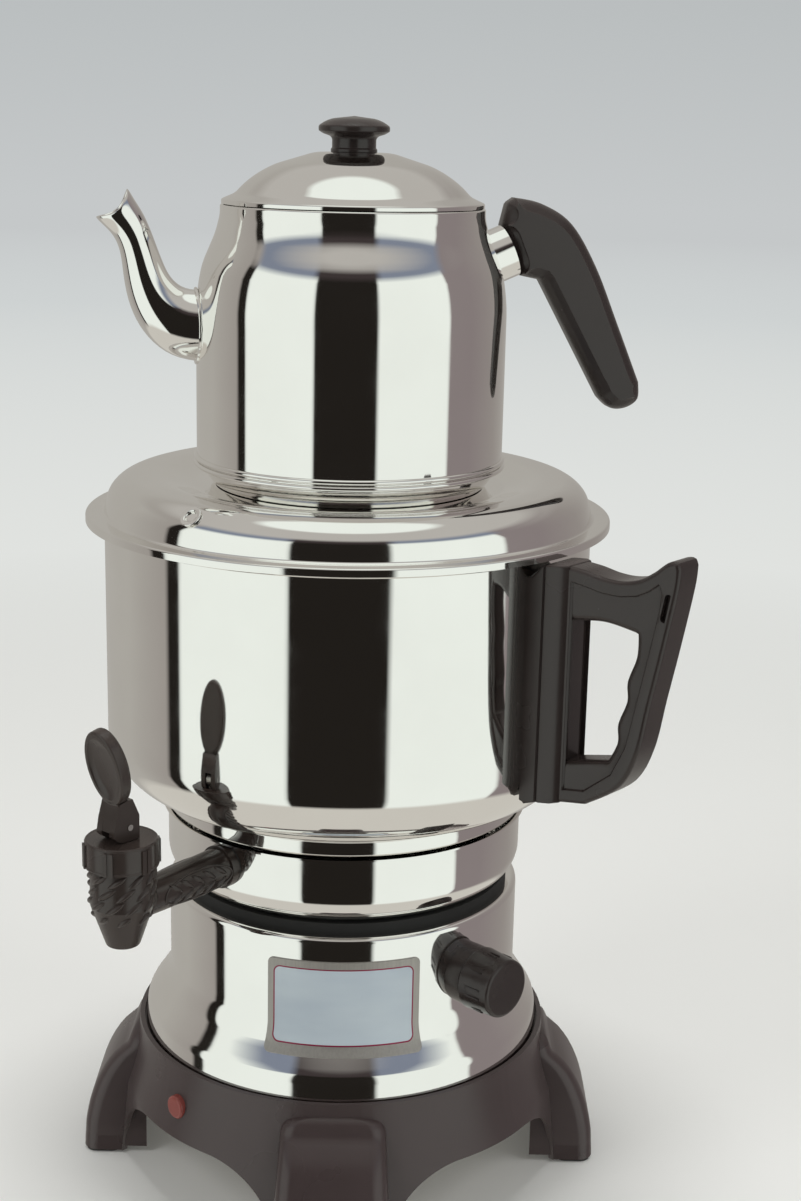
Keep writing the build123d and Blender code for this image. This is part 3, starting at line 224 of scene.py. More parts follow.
# %% Metals
def steel(name, haze=(0.03, 0.07), tint=(shade(247, 246, 243), shade(237, 235, 232)), wave=0.02):
    material, tree, shader = new_material(name)
    shader.inputs["Metallic"].default_value = 1.0
    cloud = object_noise(tree, 22.0)
    tree.links.new(two_tone(tree, cloud, *tint), shader.inputs["Base Color"])
    tree.links.new(spread(tree, object_noise(tree, 60.0, 6.0), *haze), shader.inputs["Roughness"])
    tree.links.new(bump(tree, object_noise(tree, 9.0, 1.0), wave, 0.004), shader.inputs["Normal"])
    return material


polished_steel = steel("polished_steel")
plain_steel = steel("plain_steel", haze=(0.22, 0.34), tint=(shade(196, 194, 190), shade(170, 168, 165)))
brass = steel("brass", haze=(0.18, 0.3), tint=(shade(214, 178, 104), shade(188, 150, 84)))
print("metals:", polished_steel.name, plain_steel.name, brass.name)


# %% [markdown]
# The dark parts are moulded plastics. Each has its own brown or grey cast, a fine pebbled skin from the
# mould, and patches that hands have rubbed smoother. The pebbles could be modelled, but they are far finer
# than any edge that shows, so a bump is enough. One recipe with different numbers serves them all, and the
# lamp's red lens is the same recipe with hardly any roughness.

# %% Plastics and rubber
def moulded(name, dark, light, rough=(0.3, 0.42), grain=900.0, grain_depth=0.00005):
    material, tree, shader = new_material(name)
    rubbed = object_noise(tree, 14.0, 4.0)
    tree.links.new(two_tone(tree, rubbed, dark, light), shader.inputs["Base Color"])
    tree.links.new(spread(tree, rubbed, *rough), shader.inputs["Roughness"])
    skin = bump(tree, object_noise(tree, grain, 2.0), 0.25, grain_depth)
    tree.links.new(skin, shader.inputs["Normal"])
    return material


base_plastic = moulded("base_plastic", shade(64, 54, 53), shade(79, 67, 67), rough=(0.24, 0.34))
black_plastic = moulded("black_plastic", shade(41, 34, 32), shade(55, 47, 45), rough=(0.2, 0.32))
tap_plastic = moulded("tap_plastic", shade(46, 38, 35), shade(62, 53, 49), rough=(0.17, 0.28))
rubber = moulded("rubber", shade(24, 23, 23), shade(34, 33, 32), rough=(0.6, 0.8))
inlet_plastic = moulded("inlet_plastic", shade(24, 24, 25), shade(33, 32, 32), rough=(0.35, 0.48))
lamp_red = moulded("lamp_red", shade(112, 46, 42), shade(162, 86, 78), rough=(0.06, 0.12), grain=300.0)
FINISHES = {
    "base_plastic": base_plastic, "black_plastic": black_plastic, "tap_plastic": tap_plastic,
    "polished_steel": polished_steel, "plain_steel": plain_steel, "brass": brass, "rubber": rubber,
    "inlet_plastic": inlet_plastic, "lamp_red": lamp_red,
}
print("finishes:", ", ".join(FINISHES))


# %% [markdown]
# The frame's own pieces keep their shape and only get these finishes. Each could be dressed by hand, but
# the record already says which slot a piece belongs to, so one loop hands every piece its slot's finish.

# %% Dress the frame's pieces
for part in frame["record"]["subparts"]:
    piece = frame["nodes"][part["node"]]
    piece.data.materials.clear()
    piece.data.materials.append(FINISHES[part["material_slot"]])


# %% [markdown]
# The stage is a pale floor that runs out into an even pale surround, with no edge for the eye to catch. A
# plain white floor would have to be overlit to look white, and the object with it. So the floor is two
# materials in one: near the object it is mostly a matt surface that takes a shadow, and further out it
# glows in the surround's own colours, which cool and darken with the distance.

# %% Floor finish
FLOOR_RADIUS = 9.0
FLOOR_GLOW = (0.05, 1.0)  # share of its own light near the object and far from it
FLOOR_FADE = (0.3, 1.5)  # distances between which that share grows
FLOOR_COLOURS = [(0.0, shade(231, 232, 227)), (0.15, shade(225, 227, 224)), (0.55, shade(206, 210, 210)),
                 (1.0, shade(197, 200, 201))]


def floor_finish():
    material, tree, shader = new_material("pale_floor")
    shader.inputs["Base Color"].default_value = shade(238, 238, 235)
    shader.inputs["Roughness"].default_value = 0.9
    shader.inputs["Specular IOR Level"].default_value = 0.1
    place = node(tree, "ShaderNodeTexCoord")
    reach = node(tree, "ShaderNodeVectorMath", operation="LENGTH")
    tree.links.new(place.outputs["Object"], reach.inputs[0])
    glow = node(tree, "ShaderNodeEmission", Strength=1.0)
    distance = spread(tree, reach.outputs["Value"], 0.0, 1.0, 0.0, FLOOR_RADIUS)
    tree.links.new(ramp_of(tree, distance, FLOOR_COLOURS), glow.inputs["Color"])
    mix = node(tree, "ShaderNodeMixShader")
    tree.links.new(spread(tree, reach.outputs["Value"], *FLOOR_GLOW, *FLOOR_FADE), mix.inputs["Fac"])
    tree.links.new(shader.outputs[0], mix.inputs[1])
    tree.links.new(glow.outputs[0], mix.inputs[2])
    tree.links.new(mix.outputs[0], tree.nodes["Material Output"].inputs["Surface"])
    return material


print("floor colours:", len(FLOOR_COLOURS))


# %% [markdown]
# The floor is one flat disc, wide enough that its edge lies far beyond the view. A square would do as
# well, but the glow grows with the distance from the middle, and a disc ends at one distance all round. It
# is hidden from mirrors, because the reflection cards further on have a floor colour of their own.

# %% Floor
def stage_thing(bm, name, material):
    """A thing that belongs to the stage and not to the samovar."""
    mesh = bpy.data.meshes.new(name)
    bm.to_mesh(mesh)
    bm.free()
    mesh.materials.append(material)
    thing = bpy.data.objects.new(name, mesh)
    bpy.context.scene.collection.objects.link(thing)
    return thing


disc = bmesh.new()
bmesh.ops.create_circle(disc, cap_ends=True, segments=96, radius=FLOOR_RADIUS)
floor = stage_thing(disc, "floor", floor_finish())
floor.visible_glossy = False
print("floor radius", FLOOR_RADIUS, "m")


# %% [markdown]
# The surround is the world's own background. A wall would need its own light and would show its edges, so
# the world carries a ramp from the floor's far colour at the horizon to a darker grey higher up.

# %% Surround
SURROUND_RISE = (-0.04, 0.3)  # upward part of the view direction at the ramp's two ends
SURROUND_COLOURS = [(0.0, shade(197, 200, 201)), (0.3, shade(186, 190, 191)), (1.0, shade(158, 158, 156))]

world = bpy.data.worlds.new("surround")
world.use_nodes = True
bpy.context.scene.world = world
sky_tree = world.node_tree
sky = sky_tree.nodes["Background"]
sky.inputs["Strength"].default_value = 1.0
direction = node(sky_tree, "ShaderNodeTexCoord")
split = node(sky_tree, "ShaderNodeSeparateXYZ")
sky_tree.links.new(direction.outputs["Generated"], split.inputs[0])
sky_height = spread(sky_tree, split.outputs["Z"], 0.0, 1.0, *SURROUND_RISE)
sky_tree.links.new(ramp_of(sky_tree, sky_height, SURROUND_COLOURS), sky.inputs["Color"])
print("surround colours:", len(SURROUND_COLOURS))


# %% [markdown]
# A mirror's whole look is its reflections, so in a studio dark and white cards stand round it, out of
# view. Separate cards would cast shadows and leave gaps, so here they are one large sphere of coloured
# light that only reflections see. Its colour depends on the compass direction and the height: a black card
# straight ahead between two white ones, taupe walls behind, a bluish gap above the cards and a bright
# ceiling. Bands with sharp edges make steel read as polished. A gradient would make it look like paint.

# %% Card colours
WHITE = shade(243, 249, 243)
BLACK = shade(34, 31, 28)
TAUPE_LEFT = shade(176, 173, 167)
TAUPE_NEAR_LEFT = shade(160, 155, 150)
TAUPE_RIGHT = shade(150, 144, 140)
TAUPE_NEAR_RIGHT = shade(138, 129, 129)
GAP_BLUE = shade(128, 136, 152)
GAP_DARK = shade(62, 55, 55)
CEILING = shade(186, 183, 178)
FLOOR_SEEN = shade(206, 203, 195)
# Azimuths are in degrees from straight ahead, positive to the right.
CARD_BANDS = [
    (-180, TAUPE_LEFT), (-120, TAUPE_LEFT), (-89, TAUPE_NEAR_LEFT), (-88, BLACK), (-81, BLACK), (-80, WHITE),
    (-25.5, WHITE), (-24.5, BLACK), (20.5, BLACK), (21.5, WHITE), (77, WHITE), (78, TAUPE_NEAR_RIGHT),
    (100, TAUPE_NEAR_RIGHT), (135, TAUPE_RIGHT), (180, TAUPE_LEFT),
]
GAP_BANDS = [
    (-180, TAUPE_LEFT), (-84, TAUPE_NEAR_LEFT), (-78, GAP_BLUE), (-30, GAP_BLUE), (-24, GAP_DARK),
    (20, GAP_DARK), (26, GAP_BLUE), (76, GAP_BLUE), (84, TAUPE_NEAR_RIGHT), (180, TAUPE_LEFT),
]
# Heights are in degrees above the horizon: where each layer starts, and where it has taken over.
GAP_RISE = (27.0, 33.0)
CEILING_RISE = (36.0, 44.0)
SKYLIGHT_RISE = (66.0, 70.0)
FLOOR_DROP = (-37.0, -32.0)
print("cards:", len(CARD_BANDS), "bands round the compass and", len(GAP_BANDS), "in the gap above")


# %% [markdown]
# To know which card a place on the sphere belongs to, its light finds its compass direction with an
# arctangent and its height with an arcsine, both taken from Object coordinates about the sphere's middle.
# The surround's view direction would do for a far wall, but the cards stand close, so places count here.

# %% Where a card stands
CARD_CENTRE = Vector((0.0, 0.0, 0.25))


def banded(tree, azimuth, bands):
    """A ramp round the compass with one stop for each (azimuth, colour)."""
    return ramp_of(tree, azimuth, [((angle + 180) / 360, colour) for angle, colour in bands])


def compass_and_rise(tree):
    """The direction from the sphere's middle: once round the compass as 0 to 1, and degrees upward."""
    place = node(tree, "ShaderNodeTexCoord")
    centred = node(tree, "ShaderNodeVectorMath", operation="SUBTRACT")
    centred.inputs[1].default_value = CARD_CENTRE
    unit = node(tree, "ShaderNodeVectorMath", operation="NORMALIZE")
    parts = node(tree, "ShaderNodeSeparateXYZ")
    tree.links.new(place.outputs["Object"], centred.inputs[0])
    tree.links.new(centred.outputs[0], unit.inputs[0])
    tree.links.new(unit.outputs[0], parts.inputs[0])
    toward = math_node(tree, "MULTIPLY", parts.outputs["Y"], -1.0)
    turn = math_node(tree, "MULTIPLY", math_node(tree, "ARCTAN2", parts.outputs["X"], toward), 0.5 / math.pi)
    rise = math_node(tree, "MULTIPLY", math_node(tree, "ARCSINE", parts.outputs["Z"]), 180 / math.pi)
    return math_node(tree, "ADD", turn, 0.5), rise


print("cards stand round", tuple(CARD_CENTRE))


# %% [markdown]
# Each layer of the cards is laid over the one below by how high it stands, and the floor that a mirror
# sees comes last. The sphere is hidden from the camera, from soft light and from shadows, so it adds
# nothing but reflections. An icosphere has even faces, where a globe would crowd them at its poles.

# %% Reflection cards
CARD_RADIUS = 4.0


def card_light():
    material, tree, shader = new_material("card_light")
    tree.nodes.remove(shader)
    azimuth, rise = compass_and_rise(tree)
    colour = banded(tree, azimuth, CARD_BANDS)
    for layer, span in ((banded(tree, azimuth, GAP_BANDS), GAP_RISE), (CEILING, CEILING_RISE),
                        (WHITE, SKYLIGHT_RISE)):
        colour = blend_by(tree, spread(tree, rise, 0.0, 1.0, *span), colour, layer)
    colour = blend_by(tree, spread(tree, rise, 1.0, 0.0, *FLOOR_DROP), colour, FLOOR_SEEN)
    light = node(tree, "ShaderNodeEmission", Strength=1.0)
    tree.links.new(colour, light.inputs["Color"])
    tree.links.new(light.outputs[0], tree.nodes["Material Output"].inputs["Surface"])
    return material


ball = bmesh.new()
bmesh.ops.create_icosphere(ball, subdivisions=5, radius=CARD_RADIUS)
bmesh.ops.translate(ball, verts=ball.verts[:], vec=CARD_CENTRE)
cards = stage_thing(ball, "reflection_cards", card_light())
cards.visible_camera = False
cards.visible_diffuse = False
cards.visible_shadow = False
print("card sphere radius", CARD_RADIUS, "m")


# %% [markdown]
# A sun would draw a hard shadow, and studio shots have none. A broad lamp overhead lays a soft shadow all
# round the feet, and two smaller ones, high on either side, model the matt parts. They are hidden from
# reflections, because the cards already give the steel what it should show.

# %% Lamps
LAMP_AIM = Vector((0, 0, 0.2))
LAMPS = [  # name, place, size in metres, watts
    ("lamp_left", (-1.3, -1.0, 1.7), 0.8, 8.0),
    ("lamp_right", (1.4, -0.7, 1.6), 0.8, 6.0),
    ("lamp_above", (0.0, 0.12, 2.2), 0.9, 22.0),
]


def soft_lamp(name, place, size, power):
    data = bpy.data.lights.new(name, "AREA")
    data.shape = "DISK"
    data.size = size
    data.energy = power
    lamp = bpy.data.objects.new(name, data)
    lamp.location = place
    lamp.rotation_mode = "QUATERNION"
    lamp.rotation_quaternion = (LAMP_AIM - Vector(place)).to_track_quat("-Z", "Y")
    bpy.context.scene.collection.objects.link(lamp)
    lamp.visible_glossy = False


for lamp_values in LAMPS:
    soft_lamp(*lamp_values)
print("lamps:", len(LAMPS))


# %% [markdown]
# The vessels are spun from sheet, so each one is a line turned about the upright axis. The line is a
# few corner points with a radius for each corner, as a metal spinner's drawing gives them. A bevel on a
# corner vertex turns it into a true arc. Subdivision could round the corners too, but it would pull the
# straight walls in. Long straight runs are divided, so that the shading stays tight next to the arcs.

# %% Rounded profiles
ARC_STEP = math.radians(4.0)
LONGEST_RUN = 4.0 * MM


def round_corner(bm, corner, radius):
    """Turns one corner of a wire profile into an arc."""
    first, second = [edge.other_vert(corner).co - corner.co for edge in corner.link_edges]
    turning = math.pi - first.angle(second)
    bmesh.ops.bevel(bm, geom=[corner], offset=radius * math.tan(turning / 2), offset_type="OFFSET",
                    segments=max(3, math.ceil(turning / ARC_STEP)), profile=0.5, affect="VERTICES",
                    material=-1)


def profile_wire(path, radii):
    """A wire in the XZ plane through (radius, height) points in millimetres, its corners rounded."""
    bm = bmesh.new()
    corners = [bm.verts.new((r * MM, 0, z * MM)) for r, z in path]
    for start, end in zip(corners, corners[1:]):
        bm.edges.new((start, end))
    for corner, radius in zip(corners[1:-1], radii):
        if radius:
            round_corner(bm, corner, radius * MM)
    for edge in bm.edges[:]:
        cuts = int(edge.calc_length() / LONGEST_RUN)
        if cuts:
            bmesh.ops.subdivide_edges(bm, edges=[edge], cuts=cuts)
    return bm


print("an arc point every", round(math.degrees(ARC_STEP), 1), "degrees")


# %% [markdown]
# Spinning is a full turn, so its last ring has to merge with its first. The order of what follows matters:
# doubles go first, then the faces are turned outward, and only then does the sheet get its thickness. On a
# closed shell the recalculation would turn the inner wall round.

# %% Turning
TURN_STEPS = 160


def turned(bm, steps=TURN_STEPS):
    """The wire in bm turned once about the upright axis, its faces pointing outward."""
    bmesh.ops.spin(bm, geom=bm.verts[:] + bm.edges[:], cent=(0, 0, 0), axis=(0, 0, 1), dvec=(0, 0, 0),
                   angle=2 * math.pi, steps=steps, use_merge=True, use_duplicate=False)
    bmesh.ops.remove_doubles(bm, verts=bm.verts[:], dist=1e-6)
    bmesh.ops.recalc_face_normals(bm, faces=bm.faces[:])
    return bm


def spun(path, radii, wall=0.0, steps=TURN_STEPS):
    """A turned profile, with a wall that grows inward if one is given."""
    bm = turned(profile_wire(path, radii), steps)
    if wall:
        bmesh.ops.solidify(bm, geom=bm.faces[:], thickness=wall * MM)
    return bm


def bead(reach, height, radius, sides=12, steps=TURN_STEPS):
    """A round bead about the upright axis."""
    bm = bmesh.new()
    ring = bmesh.ops.create_circle(bm, segments=sides, radius=radius * MM)["verts"]
    place = Matrix.Translation((reach * MM, 0, height * MM)) @ Matrix.Rotation(math.pi / 2, 4, "X")
    bmesh.ops.transform(bm, matrix=place, verts=ring)
    return turned(bm, steps)


print("turning in", TURN_STEPS, "steps")


# %% [markdown]
# A piece often has several meshes in it, such as a drum and its rolled rim. They could stay objects of
# their own, but then each would need its own body and slot, so they are joined. Most are drawn flat or
# upright first and then moved. The move goes into the mesh and not to the object, because a pattern on
# Object coordinates would otherwise turn with the piece.

# %% Joining and moving
def joined(first, *others):
    """Adds the other meshes to the first one."""
    for other in others:
        holder = bpy.data.meshes.new("holder")
        other.to_mesh(holder)
        other.free()
        first.from_mesh(holder)
        bpy.data.meshes.remove(holder)
    return first


def moved(bm, matrix):
    bmesh.ops.transform(bm, matrix=matrix, verts=bm.verts[:])
    return bm


print("joining helpers ready")


# %% [markdown]
# Everything on the samovar stands at some angle round its axis. Two kinds of plane give those places. One
# faces straight out from the body, for the tap's shank, and one stands upright along a direction, for the
# handles and the lever. Angles in degrees from straight ahead read more easily than turned matrices.

# %% Places round the axis
def columns(x_axis, y_axis, z_axis, place):
    """A matrix from three axes and a place in millimetres."""
    turn = Matrix((x_axis, y_axis, z_axis)).transposed().to_4x4()
    return Matrix.Translation(Vector(place) * MM) @ turn


def facing_out(azimuth, reach=0.0, height=0.0):
    """Z points straight out from the axis, X runs round the body and Y runs up."""
    a = math.radians(azimuth)
    out = Vector((math.sin(a), -math.cos(a), 0))
    return columns((math.cos(a), math.sin(a), 0), (0, 0, 1), out, out * reach + Vector((0, 0, height)))


def standing(azimuth, reach=0.0, height=0.0, lean=0.0):
    """X points outward and Y up, leaning outward. Z is sideways."""
    a, tip = math.radians(azimuth), math.radians(lean)
    out, up = Vector((math.sin(a), -math.cos(a), 0)), Vector((0, 0, 1))
    return columns(out * math.cos(tip) - up * math.sin(tip), out * math.sin(tip) + up * math.cos(tip),
                   (-math.cos(a), -math.sin(a), 0), out * reach + up * height)


def value_on(line, place):
    """The second value of a broken line of pairs at a place along its first value."""
    for (start, first), (end, second) in zip(line, line[1:]):
        if place <= end:
            return first + (second - first) * (place - start) / (end - start)
    return line[-1][1]


def angles_round(steps):
    return [2 * math.pi * step / steps for step in range(steps)]


print("straight ahead is", tuple(facing_out(0).col[2].to_3d()))


# %% [markdown]
# Every piece ends the same way: smooth shading that breaks at hard edges, a finish, which is its slot's
# unless one is given, and a body to ride on. Broad flat faces next to narrow rounds shade better when the
# normals are weighted by face area, so a piece can ask for that.

# %% Making a mesh a piece
def finish_piece(bm, name, body, slot, stands_for=(), sharp=40.0, material=None, weighted=False):
    """Makes the mesh a piece, and hides the named nodes of the frame, if any are given."""
    mesh = bpy.data.meshes.new(name)
    bm.to_mesh(mesh)
    bm.free()
    mesh.shade_smooth()
    mesh.set_sharp_from_angle(angle=math.radians(sharp))
    mesh.materials.append(material or FINISHES[slot])
    piece = bpy.data.objects.new(name, mesh)
    bpy.context.scene.collection.objects.link(piece)
    if weighted:
        even = piece.modifiers.new("even_faces", "WEIGHTED_NORMAL")
        even.keep_sharp = True
    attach(piece, body)
    if stands_for:
        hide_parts(*stands_for)
    print(name, "faces", len(mesh.polygons), "size", tuple(round(d, 4) for d in piece.dimensions))
    return piece


# %% [markdown]
# From the deck up: the heater housing flares at its foot, the sump is a narrow cup, and the tank above
# it is a wide drum with a rounded shoulder and a rolled rim. The frame's solids have the same sizes, but
# their facets would show in a mirror, so each one gets a finer shell. A path lists radius and height from
# one end of the sheet to the other, and the radii belong to its inner corners in turn.

# %% Tank, sump and housing
STEEL_WALL = 1.0
HOUSING_PATH = [(58, 159), (93.5, 159), (93.5, 106), (106, 88), (107.3, 75)]
HOUSING_RADII = [3, 20, 10]
SUMP_PATH = [(0, 165), (93, 165), (93, 202), (96.5, 202)]
SUMP_RADII = [14, 1.5]
TANK_PATH = [(92, 203), (95.2, 203), (95.2, 213), (125, 217), (125, 354.4)]
TANK_RADII = [1.5, 3, 30]
RIM_BEAD = (126.2, 353.2, 2.2)  # reach, height and radius

finish_piece(spun(HOUSING_PATH, HOUSING_RADII, STEEL_WALL), "housing_shell", "root", "polished_steel",
             ["heater_housing"])
finish_piece(spun(SUMP_PATH, SUMP_RADII, STEEL_WALL), "sump_cup", "root", "polished_steel", ["tank_sump"])
tank = joined(spun(TANK_PATH, TANK_RADII, STEEL_WALL), bead(*RIM_BEAD))
finish_piece(tank, "tank_drum", "root", "polished_steel", ["tank_shell"])


# %% [markdown]
# The tank lid is a shallow dome with a dished seat for the teapot and a flat brim that overhangs the
# rim. The teapot stands in the dish on a small foot, with two rolled beads at the bottom of its wall. The
# wall runs straight up, then draws in with a gentle S to a narrower rim. Its lid is a dome that flares out
# again just before its edge. All four are spun too, so they are made as the tank is.

# %% Lids and teapot
TANK_LID_PATH = [(134.5, 353.6), (134.5, 357.5), (125.5, 357.5), (120.5, 376.0), (98, 376.4), (80, 371.5),
                 (60, 371.5), (60, 363)]
TANK_LID_RADII = [1.2, 1.5, 15, 30, 8, 2]
POT_PATH = [(0, 381), (78, 381), (78, 468.5), (74.6, 482.5), (68.2, 497.2), (66, 506), (66, 511), (62, 511)]
POT_RADII = [2.5, 85, 38, 38, 16, 1.2]
POT_BEADS = [(78.1, 382.7, 1.4), (78.1, 385.8, 1.4)]
POT_FOOT_PATH = [(0, 371.8), (68.8, 371.8), (70.8, 373.8), (75.5, 381), (0, 381)]
POT_FOOT_RADII = [0.4, 0.6, 0]
POT_LID_PATH = [(65.4, 511.3), (65.4, 513.3), (58.6, 516.3), (47.5, 528.0), (18.9, 536.8), (0, 536.8)]
POT_LID_RADII = [1.0, 8, 45, 20]

finish_piece(spun(TANK_LID_PATH, TANK_LID_RADII, STEEL_WALL), "tank_lid_dome", "tank_lid", "polished_steel",
             ["tank_lid"])
pot = joined(spun(POT_PATH, POT_RADII, STEEL_WALL), *[bead(*values) for values in POT_BEADS])
finish_piece(pot, "teapot_vessel", "teapot", "polished_steel", ["teapot_body"])
finish_piece(spun(POT_FOOT_PATH, POT_FOOT_RADII), "teapot_foot", "teapot", "polished_steel",
             ["teapot_base_disc"])
finish_piece(spun(POT_LID_PATH, POT_LID_RADII, STEEL_WALL), "teapot_lid_dome", "teapot_lid",
             "polished_steel", ["teapot_lid"])


# %% [markdown]
# The steam eyelet is a rolled tube end pressed into the lid's shoulder. A torus would have the wrong
# section, so its own section is turned upright and then laid square on the slope. The slope is an arc, so
# its middle and radius give the place for any angle.

# %% Steam eyelet
EYELET_PATH = [(3.0, -2.5), (3.0, 0.9), (5.5, 1.1), (5.5, 0.1), (4.0, 0.1), (4.0, -2.5), (3.0, -2.5)]
EYELET_RADII = [0.9, 0.45, 0.3, 0.3, 0]
VENT_AZIMUTH = math.radians(-36.0)
VENT_SLOPE = math.radians(45.0)
SHOULDER_MIDDLE = (109.0, 361.0)  # reach and height of the shoulder arc's middle
SHOULDER_RADIUS = 15.0


def vent_place():
    """Where the eyelet sits on the lid's round shoulder, its axis square to the slope."""
    out = Vector((math.sin(VENT_AZIMUTH), -math.cos(VENT_AZIMUTH), 0))
    across = Vector((math.cos(VENT_AZIMUTH), math.sin(VENT_AZIMUTH), 0))
    along = out * math.cos(VENT_SLOPE) + Vector((0, 0, math.sin(VENT_SLOPE)))
    reach, height = SHOULDER_MIDDLE
    place = out * reach + Vector((0, 0, height)) + along * SHOULDER_RADIUS
    return columns(across, along.cross(across), along, place)


eyelet = moved(spun(EYELET_PATH, EYELET_RADII, steps=32), vent_place())
finish_piece(eyelet, "steam_eyelet", "tank_lid", "polished_steel", ["vent_eyelet"])


# %% [markdown]
# The teapot lid's knob is turned plastic: a foot bead, a straight stem, and a head with a rolled edge
# under a shallow dome. It is a closed profile from axis to axis, so it needs no wall. The frame says how
# high the crown is that it stands on.

# %% Lid knob
KNOB_PATH = [(0, 0), (11.5, 0), (11.5, 1.5), (10.9, 2.2), (10.9, 7.4), (15.2, 8.8), (17.6, 10.2),
             (17.6, 12.6), (12.8, 15.9), (0, 17.4)]
KNOB_RADII = [0.4, 0.4, 0.4, 2.4, 1.2, 0.9, 1.3, 14]

knob_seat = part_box("lid_knob")[0][2]
knob = moved(spun(KNOB_PATH, KNOB_RADII, steps=96), Matrix.Translation((0, 0, knob_seat)))
finish_piece(knob, "turned_lid_knob", "teapot_lid", "black_plastic", ["lid_knob"])


# %% [markdown]
# A hollow thing that bends isn't a turned one. It can be lofted: closed loops of points are bridged in
# turn into an open tube. A round cord along a line is the same with circles, each turned to face along the
# line. A curve object with a round bevel would do for a cord, but it can't be joined to a mesh as simply.

# %% Loops, tubes and cords
def ring_through(bm, points):
    """A closed loop of edges through points in millimetres."""
    verts = [bm.verts.new(point * MM) for point in points]
    return [bm.edges.new((start, end)) for start, end in zip(verts, verts[1:] + verts[:1])]


def tube(loops):
    """Closed loops of points bridged into one open tube."""
    bm = bmesh.new()
    rings = [ring_through(bm, points) for points in loops]
    for lower, upper in zip(rings, rings[1:]):
        bmesh.ops.bridge_loops(bm, edges=lower + upper)
    bmesh.ops.recalc_face_normals(bm, faces=bm.faces[:])
    return bm


def round_cord(points, radius, sides=8):
    """A closed round cord through points in millimetres."""
    bm = bmesh.new()
    rings = []
    for before, point, after in zip(points[-1:] + points[:-1], points, points[1:] + points[:1]):
        facing = (after - before).to_track_quat("Z", "Y").to_matrix().to_4x4()
        verts = bmesh.ops.create_circle(bm, segments=sides, radius=radius * MM)["verts"]
        bmesh.ops.transform(bm, matrix=Matrix.Translation(point * MM) @ facing, verts=verts)
        rings.append(list({edge for vert in verts for edge in vert.link_edges}))
    for first, second in zip(rings, rings[1:] + rings[:1]):
        bmesh.ops.bridge_loops(bm, edges=first + second)
    bmesh.ops.recalc_face_normals(bm, faces=bm.faces[:])
    return bm


print("loft helpers ready")


# %% [markdown]
# The spout is a swan neck: wide and low where it leaves the pot, then it climbs and narrows, and flares at
# an open mouth that is cut to a beak. The mouth could be cut off with a plane, but its cut is hollow. So
# each line along the spout runs from the pot to the curve of that cut, and the rings close up towards the
# lip by themselves.

# %% Spout lines
SPOUT_STATIONS = [  # reach, height, section height, section width, rise in degrees
    (68, 451.2, 36.6, 31, 0), (84.9, 451.6, 35, 29.5, 9), (94.2, 457.7, 32.4, 27, 21),
    (100.2, 465.8, 28.6, 24.2, 35), (103.6, 475.6, 23.8, 21, 51), (105.6, 486, 19, 18, 64),
    (107.6, 494, 17.4, 16.8, 64), (111.2, 501.4, 18.4, 17, 60), (117.6, 508.8, 20.6, 18.4, 56),
    (121.6, 514.6, 23, 20, 55),
]
BEAK = [(104.0, 534.0), (111.6, 516.4), (114.4, 509.6), (119.4, 505.8), (129.2, 503.2), (145.0, 502.0)]
RING_SIDES = 24
MOUTH_RINGS = 5
MOUTH_START = 5  # the station from which the rings close up towards the mouth
LINE_STEPS = 40  # points tried between two stations when a line looks for the cut


def station_point(station, angle):
    """A point of one section, in the spout's upright plane and in millimetres."""
    reach, height, tall, wide, rise = station
    over, tilt = math.sin(angle) * tall / 2, math.radians(rise)
    return Vector((math.cos(angle) * wide / 2, -reach + math.sin(tilt) * over,
                   height + math.cos(tilt) * over))


def spout_line(angle):
    """The points of one line along the spout, the last of them on the mouth's cut."""
    stations = [station_point(station, angle) for station in SPOUT_STATIONS]
    flare = stations[-1] + (stations[-1] - stations[-2]) * 2
    ahead = stations[MOUTH_START:] + [flare]
    tried = [start.lerp(end, step / LINE_STEPS) for start, end in zip(ahead, ahead[1:])
             for step in range(1, LINE_STEPS + 1)]
    kept = ahead[:1] + list(takewhile(lambda point: point.z <= value_on(BEAK, -point.y), tried))
    picks = [kept[round(share * (len(kept) - 1) / MOUTH_RINGS)] for share in range(MOUTH_RINGS + 1)]
    return stations[:MOUTH_START] + picks


print("points along each spout line:", len(spout_line(0.0)))


# %% [markdown]
# The spout's sheet gets its thickness inward, so that the outside keeps its size, and a subdivision surface
# smooths its bends. More stations would do that too, but they would be hard to keep even. Where the spout
# is joined to the pot a bead covers the seam. It is an oval cord, wrapped on the pot's round wall.

# %% Spout
SPOUT_AZIMUTH = -80.0
SPOUT_WALL = 1.2
SEAM_REACH, SEAM_HEIGHT = 78.2, 451.4
SEAM_HALF_WIDTH, SEAM_HALF_HEIGHT = 15.6, 18.3
SEAM_BEAD = 0.9


def seam_point(angle):
    """A point of the seam between spout and pot, on the pot's round wall."""
    side = SEAM_HALF_WIDTH * math.cos(angle)
    height = SEAM_HEIGHT + SEAM_HALF_HEIGHT * math.sin(angle)
    return Vector((side, -math.sqrt(SEAM_REACH ** 2 - side ** 2), height))


spout = tube(zip(*[spout_line(angle) for angle in angles_round(RING_SIDES)]))
bmesh.ops.solidify(spout, geom=spout.faces[:], thickness=SPOUT_WALL * MM)
spout_turn = Matrix.Rotation(math.radians(SPOUT_AZIMUTH), 4, "Z")
spout_piece = finish_piece(moved(spout, spout_turn), "teapot_spout_neck", "teapot", "polished_steel",
                           ["teapot_spout"], sharp=180)
smoother = spout_piece.modifiers.new("smooth", "SUBSURF")
smoother.levels = smoother.render_levels = 2
seam_bead = round_cord([seam_point(angle) for angle in angles_round(steps=48)], SEAM_BEAD)
finish_piece(moved(seam_bead, spout_turn), "spout_seam_bead", "teapot", "polished_steel")


